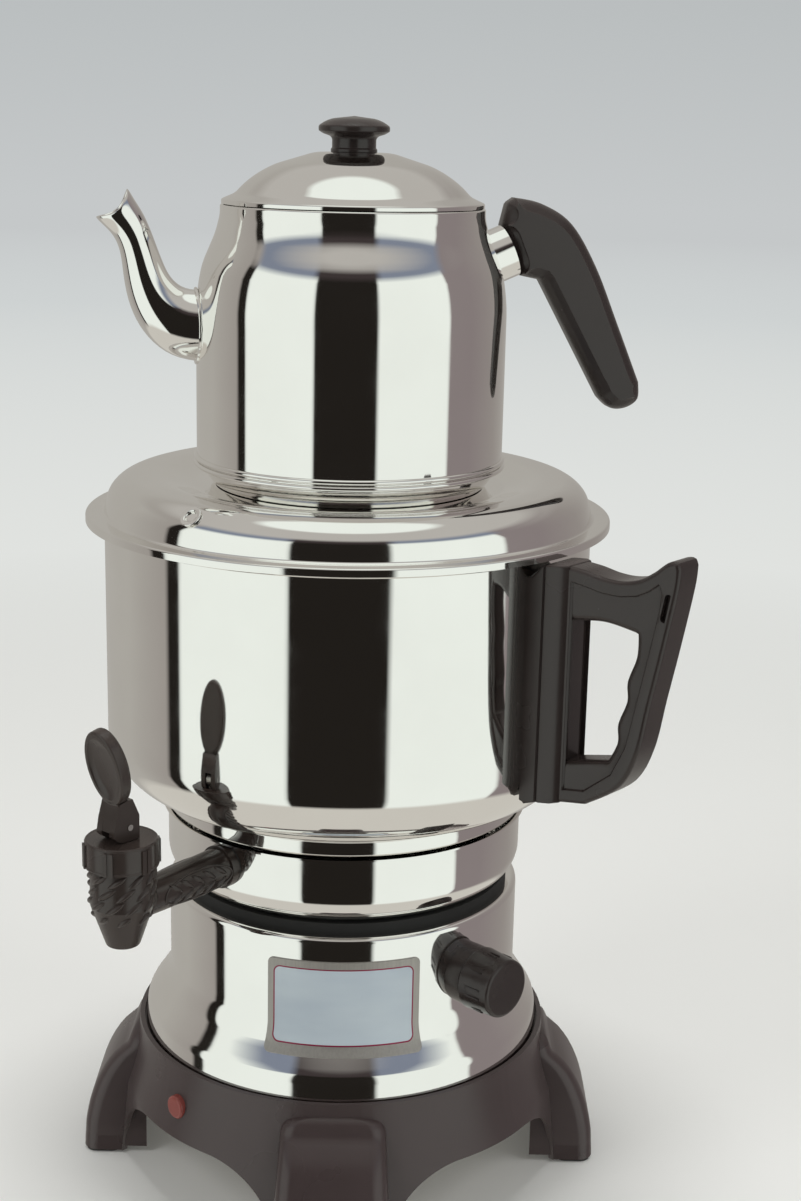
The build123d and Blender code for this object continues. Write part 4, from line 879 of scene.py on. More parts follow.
# %% [markdown]
# The two handles are moulded slabs whose outlines are drawn from the side. A few points and a smooth curve
# through them give an outline. A curve object could hold it, but its points would bunch at the tight bends,
# and points at an even spacing keep the faces even.

# %% Outlines of slabs
def curve_through(points, steps=6):
    """Points of a smooth curve through the given ones, without the last of them."""
    made = []
    for index in range(len(points) - 1):
        before, start = Vector(points[max(index - 1, 0)]), Vector(points[index])
        end, after = Vector(points[index + 1]), Vector(points[min(index + 2, len(points) - 1)])
        slope = end - before
        bend = 2 * before - 5 * start + 4 * end - after
        twist = 3 * start - before - 3 * end + after
        for step in range(steps):
            t = step / steps
            made.append(0.5 * (2 * start + slope * t + bend * t ** 2 + twist * t ** 3))
    return made


def evened(loop, spacing):
    """The same closed loop with its points at an even spacing."""
    lengths = [(end - start).length for start, end in zip(loop, loop[1:] + loop[:1])]
    count = round(sum(lengths) / spacing)
    made, index, gone = [], 0, 0.0
    for step in range(count):
        target = step * sum(lengths) / count
        while gone + lengths[index] < target:
            gone += lengths[index]
            index += 1
        start, end = loop[index], loop[(index + 1) % len(loop)]
        made.append(start.lerp(end, (target - gone) / lengths[index]))
    return made


print("outline helpers ready")


# %% [markdown]
# To round or step a slab's edge, its outline is drawn again further in. A bevel would do on a plain edge,
# but it stops where the finger gap's waves are tight. Here the inset shrinks at such places instead, so
# that no ring crosses itself.

# %% Insets
INSET_TURN = 0.8  # share of an outline's local radius that an inset may use up
INSET_EVENING = 4  # rounds of averaging, so that the inset changes gently along the outline


def room_at(before, after, amount):
    """How far an inset may go at a point, from the steps before and after it."""
    bend = -before.angle_signed(after) if before.length and after.length else 0.0
    if bend * amount > 0 and abs(bend) > 1e-4:
        return min(abs(amount), INSET_TURN * (before.length + after.length) / 2 / abs(bend))
    return abs(amount)


def inset(loop, amount):
    """The loop drawn inward, less where it turns tightly. A negative amount draws it outward."""
    nexts = loop[1:] + loop[:1]
    lasts = loop[-1:] + loop[:-1]
    rooms = [room_at(point - last, following - point, amount)
             for last, point, following in zip(lasts, loop, nexts)]
    for _ in range(INSET_EVENING):
        around = zip(rooms[-1:] + rooms[:-1], rooms, rooms[1:] + rooms[:1])
        rooms = [min(room, (last + room + following) / 3) for last, room, following in around]
    made = []
    for last, point, following, room in zip(lasts, loop, nexts, rooms):
        along = (following - last).normalized()
        made.append(point + Vector((-along.y, along.x)) * math.copysign(room, amount))
    return made


print("an inset uses up at most", INSET_TURN, "of a bend's radius")


# %% [markdown]
# A slab's side is then a stack of such rings. A short list of pairs says how far in and how far down each
# ring lies, so the same function makes a rounded edge, a crease or a step down to a sunk panel. The flat
# areas between the rings are filled at the end.

# %% Stacks of rings
def rounding(radius, steps=5):
    """Pairs of inset and drop for a quarter round, from the flat side face down to the edge."""
    quarter = [math.pi / 2 * step / steps for step in range(steps + 1)]
    return [(radius * (1 - math.sin(a)), radius * (1 - math.cos(a))) for a in quarter]


def stacked(bm, loop, half, steps, side):
    """Rings for (inset, drop) pairs on one side, bridged in turn. Gives the first and the last ring."""
    rings = []
    for inward, drop in steps:
        height = side * (half - drop)
        rings.append(ring_through(bm, [Vector((p.x, p.y, height)) for p in inset(loop, inward)]))
    for first, second in zip(rings, rings[1:]):
        bmesh.ops.bridge_loops(bm, edges=first + second)
    return rings[0], rings[-1]


def flat_between(bm, *rings):
    """Fills the flat area that the rings bound. An inner ring is left open."""
    edges = [edge for ring in rings for edge in ring]
    bmesh.ops.triangle_fill(bm, use_beauty=True, use_dissolve=False, edges=edges)


print("a 2 mm round is", len(rounding(2.0)), "rings")


# %% [markdown]
# The tank handle's plate has a raised rim round a sunk panel, a waved gap for the fingers and a blind slot
# below the horn. Each of them is an outline of its own, with reach measured from the tank's wall and height
# from the floor. One outline with steps in it would have fewer numbers, but the rim isn't equally wide.

# %% Tank handle outlines
PLATE_START, PLATE_FOOT = 18.0, 235.6
HANDLE_OUTER = [(35.0, 238.6), (53.6, 251.5), (62.8, 269.5), (68.0, 294.5), (73.4, 320.0), (79.2, 350.0),
                (80.2, 361.0)]
HANDLE_HORN = [(80.2, 361.0), (78.4, 364.2), (73.4, 363.4), (67.0, 358.2)]
HANDLE_TOP = [(67.0, 358.2), (59.0, 353.2), (49.0, 350.6), (39.0, 350.6), (29.0, 352.2),
              (PLATE_START, 353.0)]
PANEL = [(22.0, 242.8), (34.5, 244.9), (49.5, 256.8), (56.9, 272.0), (61.9, 295.5), (67.1, 320.0),
         (71.3, 341.0), (72.0, 350.0), (70.0, 353.6), (64.2, 349.0), (58.0, 345.8), (49.0, 344.0),
         (39.0, 344.0), (29.0, 345.6), (22.0, 346.4)]
GAP_FOOT = (21.8, 257.5)
GAP_WAVE = [(45.6, 263.0), (50.2, 273.0), (49.9, 282.0), (54.2, 294.0), (53.9, 303.5), (58.2, 316.0),
            (58.4, 327.0)]
GAP_TOP = [(58.4, 327.0), (40.0, 329.0), (21.6, 326.4)]
OUTLINE_SPACING, GAP_SPACING = 1.6, 1.4
SLOT_CENTRE, SLOT_LEAN = Vector((74.4, 342.5)), math.radians(79.0)
SLOT_HALF, SLOT_RADIUS = 5.0, 1.9


def slot_outline(steps=8):
    """A long hole with round ends, along the rim."""
    made = []
    for end in (1, -1):
        for step in range(steps + 1):
            a = math.pi * (step / steps - 0.5)
            along, across = SLOT_HALF + SLOT_RADIUS * math.cos(a), SLOT_RADIUS * math.sin(a)
            made.append(Vector((end * along, end * across)))
    return [SLOT_CENTRE + Matrix.Rotation(SLOT_LEAN, 2) @ point for point in made]


def plate_outlines():
    """The outer edge, the panel and the finger gap."""
    outer = [Vector((PLATE_START, PLATE_FOOT))] + curve_through(HANDLE_OUTER) + curve_through(HANDLE_HORN)
    outer += curve_through(HANDLE_TOP) + [Vector(HANDLE_TOP[-1])]
    gap = [Vector(GAP_FOOT)] + curve_through(GAP_WAVE) + curve_through(GAP_TOP, 10) + [Vector(GAP_TOP[-1])]
    panel = [Vector(point) for point in PANEL]
    return evened(outer, OUTLINE_SPACING), evened(panel, OUTLINE_SPACING), evened(gap, GAP_SPACING)


print("points of edge, panel and gap:", [len(outline) for outline in plate_outlines()])


# %% [markdown]
# The rim, the panel, the slot and the gap are one stack of rings each, on both sides of the plate. Cutting
# the gap out of a solid slab would leave its edge sharp, where a hand wants it broadly rounded. Two
# bridges then join the sides: one round the outside and one through the gap.

# %% Tank handle plate
HANDLE_AZIMUTH = 50.0
TANK_RADIUS = 125.0
HANDLE_HALF = 9.0
RIM_ROUND, GAP_EDGE = 2.4, 3.6
PANEL_DEPTH, SLOT_DEPTH = 1.3, 3.5
PANEL_STEPS = [(0, 0), (0.3, 0.25), (0.8, 1.1), (1.1, PANEL_DEPTH)]


def handle_plate():
    outer, panel, gap = plate_outlines()
    gap_steps = [(-inward, drop + PANEL_DEPTH) for inward, drop in rounding(GAP_EDGE)]
    bm = bmesh.new()
    rims, edges = [], []
    for side in (1, -1):
        top, rim = stacked(bm, outer, HANDLE_HALF, rounding(RIM_ROUND), side)
        lip, low = stacked(bm, panel, HANDLE_HALF, PANEL_STEPS, side)
        mouth, slot_floor = stacked(bm, slot_outline(), HANDLE_HALF, [(0, 0), (0.01, SLOT_DEPTH)], side)
        crest, edge = stacked(bm, gap, HANDLE_HALF, gap_steps, side)
        flat_between(bm, top, lip, mouth)
        flat_between(bm, slot_floor)
        flat_between(bm, low, crest)
        rims.append(rim)
        edges.append(edge)
    bmesh.ops.bridge_loops(bm, edges=rims[0] + rims[1])
    bmesh.ops.bridge_loops(bm, edges=edges[0] + edges[1])
    bmesh.ops.recalc_face_normals(bm, faces=bm.faces[:])
    return bm


handle_mesh = handle_plate()
print("handle plate faces:", len(handle_mesh.faces))


# %% [markdown]
# A thicker block takes the plate to the wall. It has a groove down each side, a slope at its top where it
# meets the plate, and a chamfer between the two. It is one section drawn in plan, once at the foot's
# height and once at the top's, with a bridge between them and a small bevel round both ends.

# %% Tank handle block
BLOCK_HALF = [(-0.6, 12), (2, 12), (8.0, 12), (8.9, 11.2), (9.8, 12), (17, 12), (21, 9)]  # reach, half width
BLOCK_TOP = [(-1.0, 345.0), (2.0, 345.0), (8.0, 352.0), (21.0, 353.3)]  # reach, height
BLOCK_FOOT = [(-1.0, 232.6), (2.0, 232.6), (21.0, 236.02)]
BLOCK_EDGE = 1.0


def handle_block():
    section = [(reach, -wide) for reach, wide in BLOCK_HALF] + BLOCK_HALF[::-1]
    bm = bmesh.new()
    ends = [ring_through(bm, [Vector((reach, value_on(line, reach), wide)) for reach, wide in section])
            for line in (BLOCK_FOOT, BLOCK_TOP)]
    bmesh.ops.bridge_loops(bm, edges=ends[0] + ends[1])
    caps = [face for end in ends for face in bmesh.ops.contextual_create(bm, geom=end)["faces"]]
    bmesh.ops.bevel(bm, geom=[edge for cap in caps for edge in cap.edges], offset=BLOCK_EDGE * MM,
                    segments=3, profile=0.5, affect="EDGES", material=-1, clamp_overlap=True)
    bmesh.ops.triangulate(bm, faces=[face for face in bm.faces if len(face.verts) > 6])
    bmesh.ops.recalc_face_normals(bm, faces=bm.faces[:])
    return bm


handle_mesh = moved(joined(handle_mesh, handle_block()), standing(HANDLE_AZIMUTH, TANK_RADIUS))
finish_piece(handle_mesh, "tank_handle_moulding", "root", "black_plastic", ["tank_handle"], weighted=True)


# %% [markdown]
# The teapot's grip is rounder. Its side ends in a crease some millimetres from the edge, and from there
# the edge rolls over to the back, which is what draws the fine line down its length. The same stack of
# rings does it: two pairs close together make the crease, and the rest of the list is the roll.

# %% Teapot handle
POT_HANDLE_AZIMUTH = 103.0
GRIP_HALF = 10.0
GRIP_FRONT = [(75.9, 502.3), (81.2, 489.8), (86.5, 477.3), (97.2, 475.2)]
GRIP_TIP = [(131.8, 414.4), (138.5, 408.8), (146.5, 408.8), (153.2, 413.5), (153.2, 422.5)]
GRIP_BACK = [(153.2, 422.5), (140.0, 453.0), (127.0, 482.0), (113.0, 503.5), (97.0, 513.2), (82.5, 516.2)]
GRIP_HEAD = [(82.5, 516.2), (78.6, 513.6)]
GRIP_EDGE = [(6.2, 0.0), (5.8, 0.05), (5.2, 0.7), (3.6, 1.5), (2.2, 2.6), (1.1, 4.0), (0.35, 5.6),
             (0.0, 7.4)]
GRIP_SPACING = 1.8


def pot_grip():
    outline = [Vector(point) for point in GRIP_FRONT] + curve_through(GRIP_TIP) + curve_through(GRIP_BACK)
    outline = evened(outline + [Vector(point) for point in GRIP_HEAD], GRIP_SPACING)
    bm = bmesh.new()
    rims = []
    for side in (1, -1):
        crest, rim = stacked(bm, outline, GRIP_HALF, GRIP_EDGE, side)
        flat_between(bm, crest)
        rims.append(rim)
    bmesh.ops.bridge_loops(bm, edges=rims[0] + rims[1])
    bmesh.ops.recalc_face_normals(bm, faces=bm.faces[:])
    return bm


finish_piece(moved(pot_grip(), standing(POT_HANDLE_AZIMUTH)), "teapot_grip", "teapot", "black_plastic",
             ["teapot_handle"], weighted=True)


# %% [markdown]
# The tap's barrel carries rows of leaf-shaped ribs that climb round it, and its shank a row of chevrons in
# an oval line. A displacement map could raise them, but their edges would be ragged. Each leaf here is a
# small grid laid on a surface of revolution: widest and highest in its middle, pointed at its ends. Its
# edges dip just below the surface, so it grows out of the plastic.

# %% Tap relief
LEAF_ALONG, LEAF_ACROSS = 10, 6
LEAF_DIP = 0.12
RELIEF_WALL = 0.6


def leaf(bm, outline, place, around, length, width, climb, height):
    """One leaf on a surface of revolution about Z, at a place along Z and an angle round it."""
    grid = bmesh.ops.create_grid(bm, x_segments=LEAF_ALONG, y_segments=LEAF_ACROSS, size=1.0)["verts"]
    for vert in grid:
        along, across = vert.co.x, vert.co.y
        point = 1 - min(along ** 2, 1)
        x, y = along * length / 2, across * width / 2 * point ** 0.7
        up = place + x * math.sin(climb) + y * math.cos(climb)
        surface = value_on(outline, up)
        angle = around + (x * math.cos(climb) - y * math.sin(climb)) / surface
        reach = surface + height * (1 - across ** 2) * point ** 0.5 - LEAF_DIP
        vert.co = Vector((reach * math.sin(angle), -reach * math.cos(angle), up)) * MM


def thickened(bm):
    """Closes the leaves' points and gives them a wall that grows into the plastic."""
    bmesh.ops.remove_doubles(bm, verts=bm.verts[:], dist=1e-7)
    bmesh.ops.solidify(bm, geom=bm.faces[:], thickness=RELIEF_WALL * MM)
    return bm


print("a leaf is", LEAF_ALONG * LEAF_ACROSS, "faces")


# %% [markdown]
# On the barrel the leaves stand in four rows, each turned a little against the one above, so that together
# they read as a rope's twist. The lowest row lies on the cone above the outlet and is shorter.

# %% Tap barrel
TAP_AZIMUTH = -38.0
TAP_REACH = 163.0
BARREL = [(171.0, 8.0), (192.0, 15.2), (211.5, 15.2)]  # height and radius
LEAF_ROWS = [  # height, count, length
    (207.6, 10, 12.0), (201.0, 10, 12.0), (194.2, 10, 12.0), (187.0, 8, 8.4),
]
LEAF_STAGGER = 0.42  # share of a leaf's spacing between one row and the next
LEAF_WIDTH, LEAF_HEIGHT = 3.3, 1.45
LEAF_CLIMB = math.radians(34)


def barrel_leaves():
    bm = bmesh.new()
    for row, (place, count, length) in enumerate(LEAF_ROWS):
        for step in range(count):
            around = 2 * math.pi * (step + row * LEAF_STAGGER) / count
            leaf(bm, BARREL, place, around, length, LEAF_WIDTH, LEAF_CLIMB, LEAF_HEIGHT)
    return thickened(bm)


barrel_place = facing_out(TAP_AZIMUTH, TAP_REACH).to_translation()
finish_piece(moved(barrel_leaves(), Matrix.Translation(barrel_place)), "tap_barrel_leaves", "root",
             "tap_plastic", sharp=60)


# %% [markdown]
# The shank is a cone whose axis runs out from the tank, so its chevrons are laid on the upright axis first
# and then turned onto it. Two leaves that lean towards each other make a chevron. The line round them is a
# cord half sunk in the plastic. The bonnet gets a rolled ring round its top and one below its ribs.

# %% Tap shank and bonnet
SHANK = [(97.0, 10.0), (163.0, 8.6)]  # reach and radius
SHANK_AXIS_Z = 189.5
CHEVRONS = (106.0, 113.5, 121.0, 128.5, 136.0)
CHEVRON_LENGTH, CHEVRON_WIDTH, CHEVRON_HEIGHT = 9.6, 2.8, 1.25
CHEVRON_APART = 0.34  # angle from the shank's side to the middle of each half
CHEVRON_CLIMB = math.radians(52)
OVAL_MIDDLE, OVAL_HALF, OVAL_SPREAD = 121.0, 22.5, 0.78  # reach, half length, half width as an angle
OVAL_CORD, OVAL_PROUD = 0.6, 0.1
BONNET_ROLLS = [(16.4, 223.9, 0.85), (17.0, 212.4, 0.7)]  # reach, height and radius


def oval_point(side, angle):
    place = OVAL_MIDDLE + OVAL_HALF * math.cos(angle)
    turn = side * math.pi / 2 + OVAL_SPREAD * math.sin(angle)
    reach = value_on(SHANK, place) + OVAL_PROUD
    return Vector((reach * math.sin(turn), -reach * math.cos(turn), place))


def shank_relief():
    """Chevrons and their oval line on both sides of the shank."""
    bm = bmesh.new()
    for side in (1, -1):
        for place in CHEVRONS:
            for half in (1, -1):
                around = side * math.pi / 2 + half * CHEVRON_APART
                leaf(bm, SHANK, place, around, CHEVRON_LENGTH, CHEVRON_WIDTH, half * CHEVRON_CLIMB,
                     CHEVRON_HEIGHT)
    ovals = [round_cord([oval_point(side, angle) for angle in angles_round(steps=56)], OVAL_CORD)
             for side in (1, -1)]
    return joined(thickened(bm), *ovals)


finish_piece(moved(shank_relief(), facing_out(TAP_AZIMUTH, 0, SHANK_AXIS_Z)), "tap_shank_chevrons", "root",
             "tap_plastic", sharp=60)
rolls = joined(*[bead(*values, steps=64) for values in BONNET_ROLLS])
finish_piece(moved(rolls, Matrix.Translation(barrel_place)), "tap_bonnet_rolls", "root", "tap_plastic")


# %% [markdown]
# The tap's lever tilts about a pin, and its forked heel rolls on the bonnet and so lifts the stem. The heel
# is where the lever works, so it is a merged copy of the frame's own lever, cut off where the paddle
# begins. It could be drawn anew, but then it might not roll on the bonnet as this one does.

# %% Tap lever heel
LEVER_AZIMUTH = -42.0
LEVER_LEAN = 13.0
LEVER_PIN_Z = 231.3
NECK_CUT = 13.5

pin_place = barrel_place / MM + Vector((0, 0, LEVER_PIN_Z))


def lever_place():
    """X sideways, Y up along the lever and Z out through the paddle's face, with its origin on the pin."""
    axes = standing(LEVER_AZIMUTH, lean=LEVER_LEAN).to_3x3()
    return columns(-axes.col[2], axes.col[1], axes.col[0], pin_place)


def lever_heel(place):
    """A merged copy of the frame's lever below the neck, closed where it is cut."""
    bm = bmesh.new()
    bm.from_mesh(frame["nodes"]["tap_lever"].data)
    bmesh.ops.remove_doubles(bm, verts=bm.verts[:], dist=1e-6)
    bmesh.ops.dissolve_limit(bm, angle_limit=math.radians(1), verts=bm.verts[:], edges=bm.edges[:])
    bmesh.ops.bisect_plane(bm, geom=bm.verts[:] + bm.edges[:] + bm.faces[:], clear_outer=True,
                           plane_co=place @ Vector((0, NECK_CUT * MM, 0)), plane_no=place.to_3x3().col[1])
    bmesh.ops.holes_fill(bm, edges=[edge for edge in bm.edges if edge.is_boundary])
    bmesh.ops.recalc_face_normals(bm, faces=bm.faces[:])
    return bm


lever_frame = lever_place()
lever_mesh = lever_heel(lever_frame)
print("lever heel faces:", len(lever_mesh.faces))


# %% [markdown]
# Above its neck the lever gets a finer paddle: an oval with a rolled rim and a smooth dish on its outer
# face. It could be lofted, but a round dish that is turned and then stretched gets its dish and its rim
# from one short profile. A web closes the front of the fork, clear of the stem's eye at any tilt.

# %% Tap lever paddle
PADDLE_PATH = [(0, 1.3), (9.3, 1.9), (10.3, 3.5), (12.5, 3.5), (12.5, -3.5), (0, -3.1)]
PADDLE_RADII = [5, 0.6, 1.0, 2.2]
PADDLE_CENTRE = 30.8
PADDLE_STRETCH = 19.5 / 12.5
WEB_OUTLINE = [(7.0, -1.5), (9.2, -1.5), (8.2, 4.5), (5.4, 13.4), (3.4, 13.4), (5.2, 5.0), (6.0, 1.0)]
WEB_WIDTH = 5.8


def fork_web():
    """A slab across the front of the fork, centred between its cheeks."""
    bm = bmesh.new()
    outline = ring_through(bm, [Vector((x, y, 0)) for x, y in WEB_OUTLINE])
    bmesh.ops.solidify(bm, geom=bmesh.ops.contextual_create(bm, geom=outline)["faces"],
                       thickness=WEB_WIDTH * MM)
    top = max(vert.co.z for vert in bm.verts)
    bmesh.ops.translate(bm, verts=bm.verts[:], vec=(0, 0, WEB_WIDTH / 2 * MM - top))
    bmesh.ops.recalc_face_normals(bm, faces=bm.faces[:])
    return moved(bm, Matrix.Translation(pin_place * MM) @ standing(LEVER_AZIMUTH))


stretch = Matrix.Translation((0, PADDLE_CENTRE * MM, 0)) @ Matrix.Diagonal((1, PADDLE_STRETCH, 1, 1))
paddle = moved(spun(PADDLE_PATH, PADDLE_RADII, steps=72), lever_frame @ stretch)
finish_piece(joined(lever_mesh, paddle, fork_web()), "tap_lever_paddle", "tap_lever", "tap_plastic",
             ["tap_lever"], sharp=35)


# %% [markdown]
# Inside the bonnet a spring presses the stem onto its seat. When the stem rises the spring's lower end goes
# with it and its upper end stays under the bonnet's top, so the real coil grows shorter. Here a merged copy
# of the frame's coil rides with the stem, on a mesh of its own, and keeps its length.

coil = bmesh.new()
coil.from_mesh(frame["nodes"]["tap_spring"].data)
bmesh.ops.remove_doubles(coil, verts=coil.verts[:], dist=1e-6)
spring = finish_piece(coil, "tap_spring_coil", "tap_plunger", "plain_steel", ["tap_spring"])
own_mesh(spring)


# %% [markdown]
# The badge is a bent plate of brushed aluminium. Its print is only colour: a pale field inside a thin
# maroon line, and it says nothing. An image could hold the print, but a formula stays sharp at any size.
# It is worked out from the distance to a rounded rectangle, measured along the bent surface: below zero is
# the field, about zero is the line, and above is bare brushed metal.

# %% Badge finish
BADGE_RADIUS = 93.5
PRINT_CENTRE, PRINT_HALF = (3.7, 122.5), (35.4, 20.0)  # along the surface and upward
PRINT_CORNER, PRINT_LINE, PRINT_BLUR = 3.4, 0.35, 0.05


def print_distance(tree):
    """Millimetres from the edge of the printed field, below zero inside it."""
    place = node(tree, "ShaderNodeTexCoord")
    parts = node(tree, "ShaderNodeSeparateXYZ")
    tree.links.new(place.outputs["Object"], parts.inputs[0])
    toward = math_node(tree, "MULTIPLY", parts.outputs["Y"], -1.0)
    angle = math_node(tree, "ARCTAN2", parts.outputs["X"], toward)
    along = math_node(tree, "MULTIPLY", angle, BADGE_RADIUS)
    up = math_node(tree, "MULTIPLY", parts.outputs["Z"], 1 / MM)
    squares = []
    for value, centre, half in zip((along, up), PRINT_CENTRE, PRINT_HALF):
        apart = math_node(tree, "ABSOLUTE", math_node(tree, "SUBTRACT", value, centre))
        over = math_node(tree, "MAXIMUM", math_node(tree, "SUBTRACT", apart, half - PRINT_CORNER), 0.0)
        squares.append(math_node(tree, "POWER", over, 2.0))
    distance = math_node(tree, "SQRT", math_node(tree, "ADD", *squares))
    return math_node(tree, "SUBTRACT", distance, PRINT_CORNER)


def badge_finish():
    material, tree, shader = new_material("badge_print")
    edge = print_distance(tree)
    inside = spread(tree, edge, 1.0, 0.0, -PRINT_BLUR, PRINT_BLUR)
    line = spread(tree, math_node(tree, "ABSOLUTE", edge), 1.0, 0.0, PRINT_LINE - PRINT_BLUR,
                  PRINT_LINE + PRINT_BLUR)
    strokes = object_noise(tree, 160.0, 3.0, (6, 6, 0.4))
    brushed = two_tone(tree, strokes, shade(158, 154, 149), shade(182, 178, 172))
    clouds = object_noise(tree, 14.0, 3.0, (1, 1, 3))
    field = two_tone(tree, clouds, shade(176, 190, 206), shade(222, 233, 236))
    printed = blend_by(tree, line, blend_by(tree, inside, brushed, field), shade(142, 32, 68))
    tree.links.new(printed, shader.inputs["Base Color"])
    tree.links.new(spread(tree, inside, 0.42, 0.24, 0.0, 1.0), shader.inputs["Roughness"])
    tree.links.new(spread(tree, inside, 0.55, 0.0, 0.0, 1.0), shader.inputs["Metallic"])
    return material


print("printed field", 2 * PRINT_HALF[0], "by", 2 * PRINT_HALF[1], "mm")


# %% [markdown]
# The plate is stamped flat and then bent, and it is made that way here: one face with bevelled corners, an
# extrusion for its thickness, a small round on the front edge, cuts that let it bend, and then the bend
# itself. Where the housing starts to flare the plate follows it, because it takes its reach from the
# housing's own profile.

# %% Badge plate
BADGE_SIDES = (-35.2, 42.9)  # along the surface
BADGE_HEIGHTS = (97.3, 146.6)
BADGE_CORNER = 3.0
BADGE_THICK, BADGE_EDGE = 0.9, 0.35
BADGE_SUNK = 0.2  # the plate's back lies this deep in the housing, so that no gap shows
BEND_CUTS = 40
FLARE_CUTS, FLARE_CUT_APART = 12, 1.5


def flat_badge():
    """The plate before it is bent, X along the surface and Z upward."""
    bm = bmesh.new()
    (left, right), (low, high) = BADGE_SIDES, BADGE_HEIGHTS
    corners = [(left, low), (right, low), (right, high), (left, high)]
    face = bm.faces.new([bm.verts.new((x * MM, 0, z * MM)) for x, z in corners])
    bmesh.ops.bevel(bm, geom=face.verts[:], offset=BADGE_CORNER * MM, offset_type="OFFSET", segments=6,
                    profile=0.5, affect="VERTICES", material=-1)
    made = bmesh.ops.extrude_face_region(bm, geom=bm.faces[:])["geom"]
    front = [item for item in made if isinstance(item, bmesh.types.BMVert)]
    bmesh.ops.translate(bm, verts=front, vec=(0, -BADGE_THICK * MM, 0))
    rim = [edge for edge in bm.edges if all(vert in front for vert in edge.verts)]
    bmesh.ops.bevel(bm, geom=rim, offset=BADGE_EDGE * MM, segments=3, profile=0.5, affect="EDGES",
                    material=-1)
    cuts = [((left + (right - left) * step / BEND_CUTS, 0, 0), (1, 0, 0)) for step in range(1, BEND_CUTS)]
    cuts += [((0, 0, low + FLARE_CUT_APART * step), (0, 0, 1)) for step in range(1, FLARE_CUTS)]
    for place, normal in cuts:
        bmesh.ops.bisect_plane(bm, geom=bm.verts[:] + bm.edges[:] + bm.faces[:],
                               plane_co=Vector(place) * MM, plane_no=normal)
    return bm


def bent_badge():
    wall = profile_wire(HOUSING_PATH, HOUSING_RADII)
    outline = sorted((vert.co.z / MM, vert.co.x / MM) for vert in wall.verts if vert.co.x > 90 * MM)
    wall.free()
    bm = flat_badge()
    for vert in bm.verts:
        angle = vert.co.x / (BADGE_RADIUS * MM)
        reach = (value_on(outline, vert.co.z / MM) - BADGE_SUNK) * MM - vert.co.y
        vert.co = Vector((reach * math.sin(angle), -reach * math.cos(angle), vert.co.z))
    bmesh.ops.recalc_face_normals(bm, faces=bm.faces[:])
    return bm


finish_piece(bent_badge(), "badge_plate", "root", "plain_steel", material=badge_finish(), weighted=True)


# %% [markdown]
# Each foot swells out of the skirt and closes under the rim in a rounded arch. The frame's foot ends a
# little lower and squarer, so a skin over each foot draws the arch: rounded plan sections, one above the
# other, that narrow quickly at the top. A hull could be sculpted over the foot, but sections keep the
# moulding's own lines. The skin stands a hair proud of the moulding, sinks into it near the sole, and is
# left open inside the base.

# %% Foot skins
FOOT_REACH, FOOT_BULGE, FOOT_BACK, FOOT_RISE = 140.0, 35.0, 97.0, 65.0
FOOT_WIDTH, FOOT_TAPER, FOOT_CORNER = 60.0, 8.0, 8.0
SKIN_LEVELS = range(4, 62, 4)
SKIN_PROUD, SKIN_SUNK, SKIN_EMERGES = 0.3, 0.3, 0.2  # clear of the foot, lowest ring, change at each ring
SKIN_WALL = 0.5
SKIN_INSIDE = 108.5  # the skin is left out nearer to the axis than this
FOOT_ARCH = [  # height, reach, width, corner radius
    (62.0, 116.2, 53.2, 8.0), (64.0, 115.3, 52.6, 8.0), (66.0, 114.5, 50.8, 8.0), (68.0, 113.6, 47.4, 7.5),
    (69.4, 112.8, 42.6, 7.0), (70.4, 111.9, 35.0, 6.0), (70.9, 110.9, 26.0, 5.0),
]


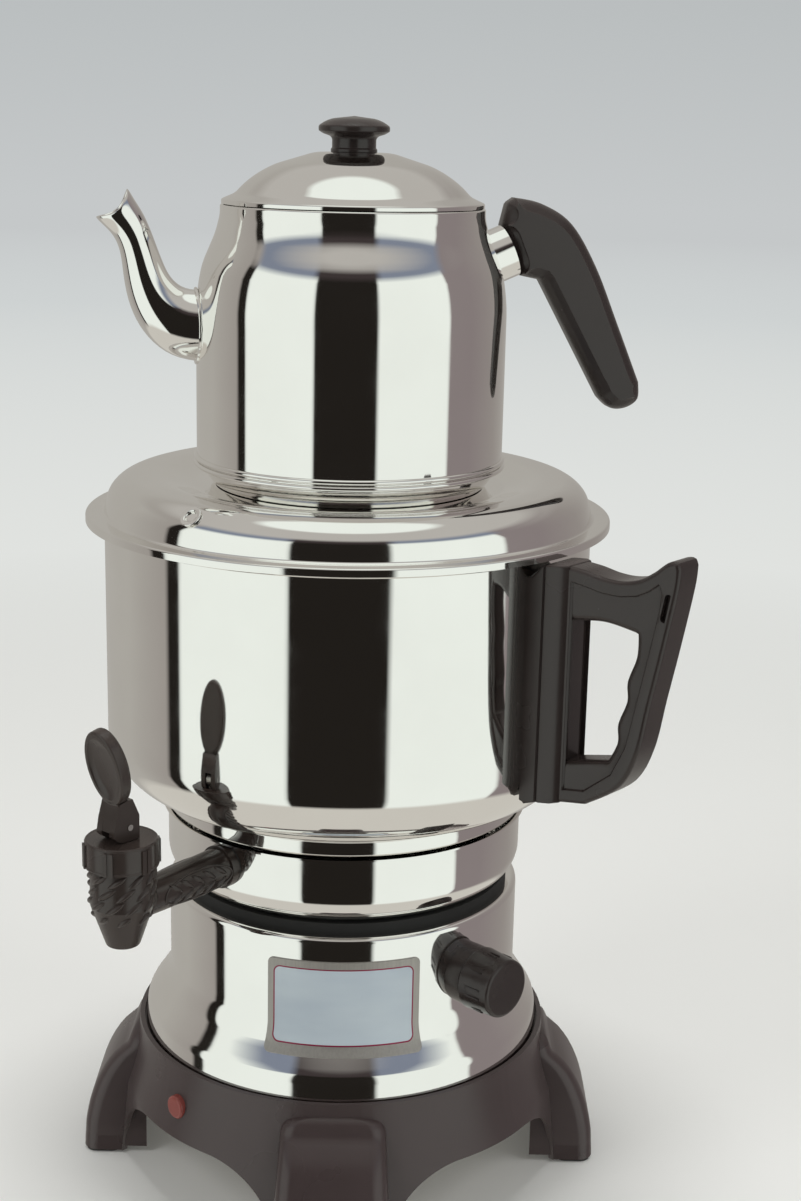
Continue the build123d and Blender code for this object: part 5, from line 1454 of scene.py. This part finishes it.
def rounded_plan(reach, width, corner, height, turns=7):
    """A rounded rectangle in plan, from the foot's back to its reach."""
    half, middle, depth = width / 2, -(FOOT_BACK + reach) / 2, (reach - FOOT_BACK) / 2
    corner = min(corner, depth * 0.8)
    made = []
    for quarter, (side, end) in enumerate(((1, 1), (-1, 1), (-1, -1), (1, -1))):
        for step in range(turns):
            a = math.pi / 2 * (quarter + step / (turns - 1))
            made.append(Vector((side * (half - corner) + corner * math.cos(a),
                                middle + end * (depth - corner) + corner * math.sin(a), height)))
    return made


def foot_skin():
    sections = []
    for index, height in enumerate(SKIN_LEVELS):
        proud = min(SKIN_PROUD, SKIN_EMERGES * index - SKIN_SUNK)
        share = height / FOOT_RISE
        reach = FOOT_REACH - FOOT_BULGE * (1 - math.sqrt(1 - share * share)) + proud
        width = FOOT_WIDTH - FOOT_TAPER * share + 2 * proud
        sections.append(rounded_plan(reach, width, FOOT_CORNER, height))
    sections += [rounded_plan(reach, width, corner, height) for height, reach, width, corner in FOOT_ARCH]
    bm = tube(sections)
    inside = [face for face in bm.faces if face.calc_center_median().xy.length < SKIN_INSIDE * MM]
    bmesh.ops.delete(bm, geom=inside, context="FACES")
    bmesh.ops.solidify(bm, geom=bm.faces[:], thickness=SKIN_WALL * MM)
    return bm


feet = [moved(foot_skin(), Matrix.Rotation(math.pi / 2 * quarter, 4, "Z")) for quarter in range(4)]
finish_piece(joined(*feet), "foot_skins", "root", "base_plastic", sharp=50)


# %% [markdown]
# The frame's own plastic pieces have dead sharp edges, and a moulding never has. Their meshes stay as they
# are, and modifiers do the rest: a weld joins the loose triangles, a small bevel rounds every hard edge,
# and evened normals keep the flats flat, so that each edge catches a thin light.

# %% Softened edges
EDGE_LIMIT = math.radians(32.0)
SOFT_EDGES = {"base_moulding": 0.9, "thermostat_collar": 0.3, "thermostat_knob": 0.4, "power_inlet": 0.5}


def softened(name, width):
    piece = frame["nodes"][name]
    weld = piece.modifiers.new("weld", "WELD")
    weld.merge_threshold = 1e-6
    bevel = piece.modifiers.new("bevel", "BEVEL")
    bevel.width = width * MM
    bevel.segments = 2
    bevel.limit_method = "ANGLE"
    bevel.angle_limit = EDGE_LIMIT
    bevel.harden_normals = False
    even = piece.modifiers.new("even_faces", "WEIGHTED_NORMAL")
    even.keep_sharp = True


for name, width in SOFT_EDGES.items():
    softened(name, width)
print("softened", ", ".join(SOFT_EDGES))
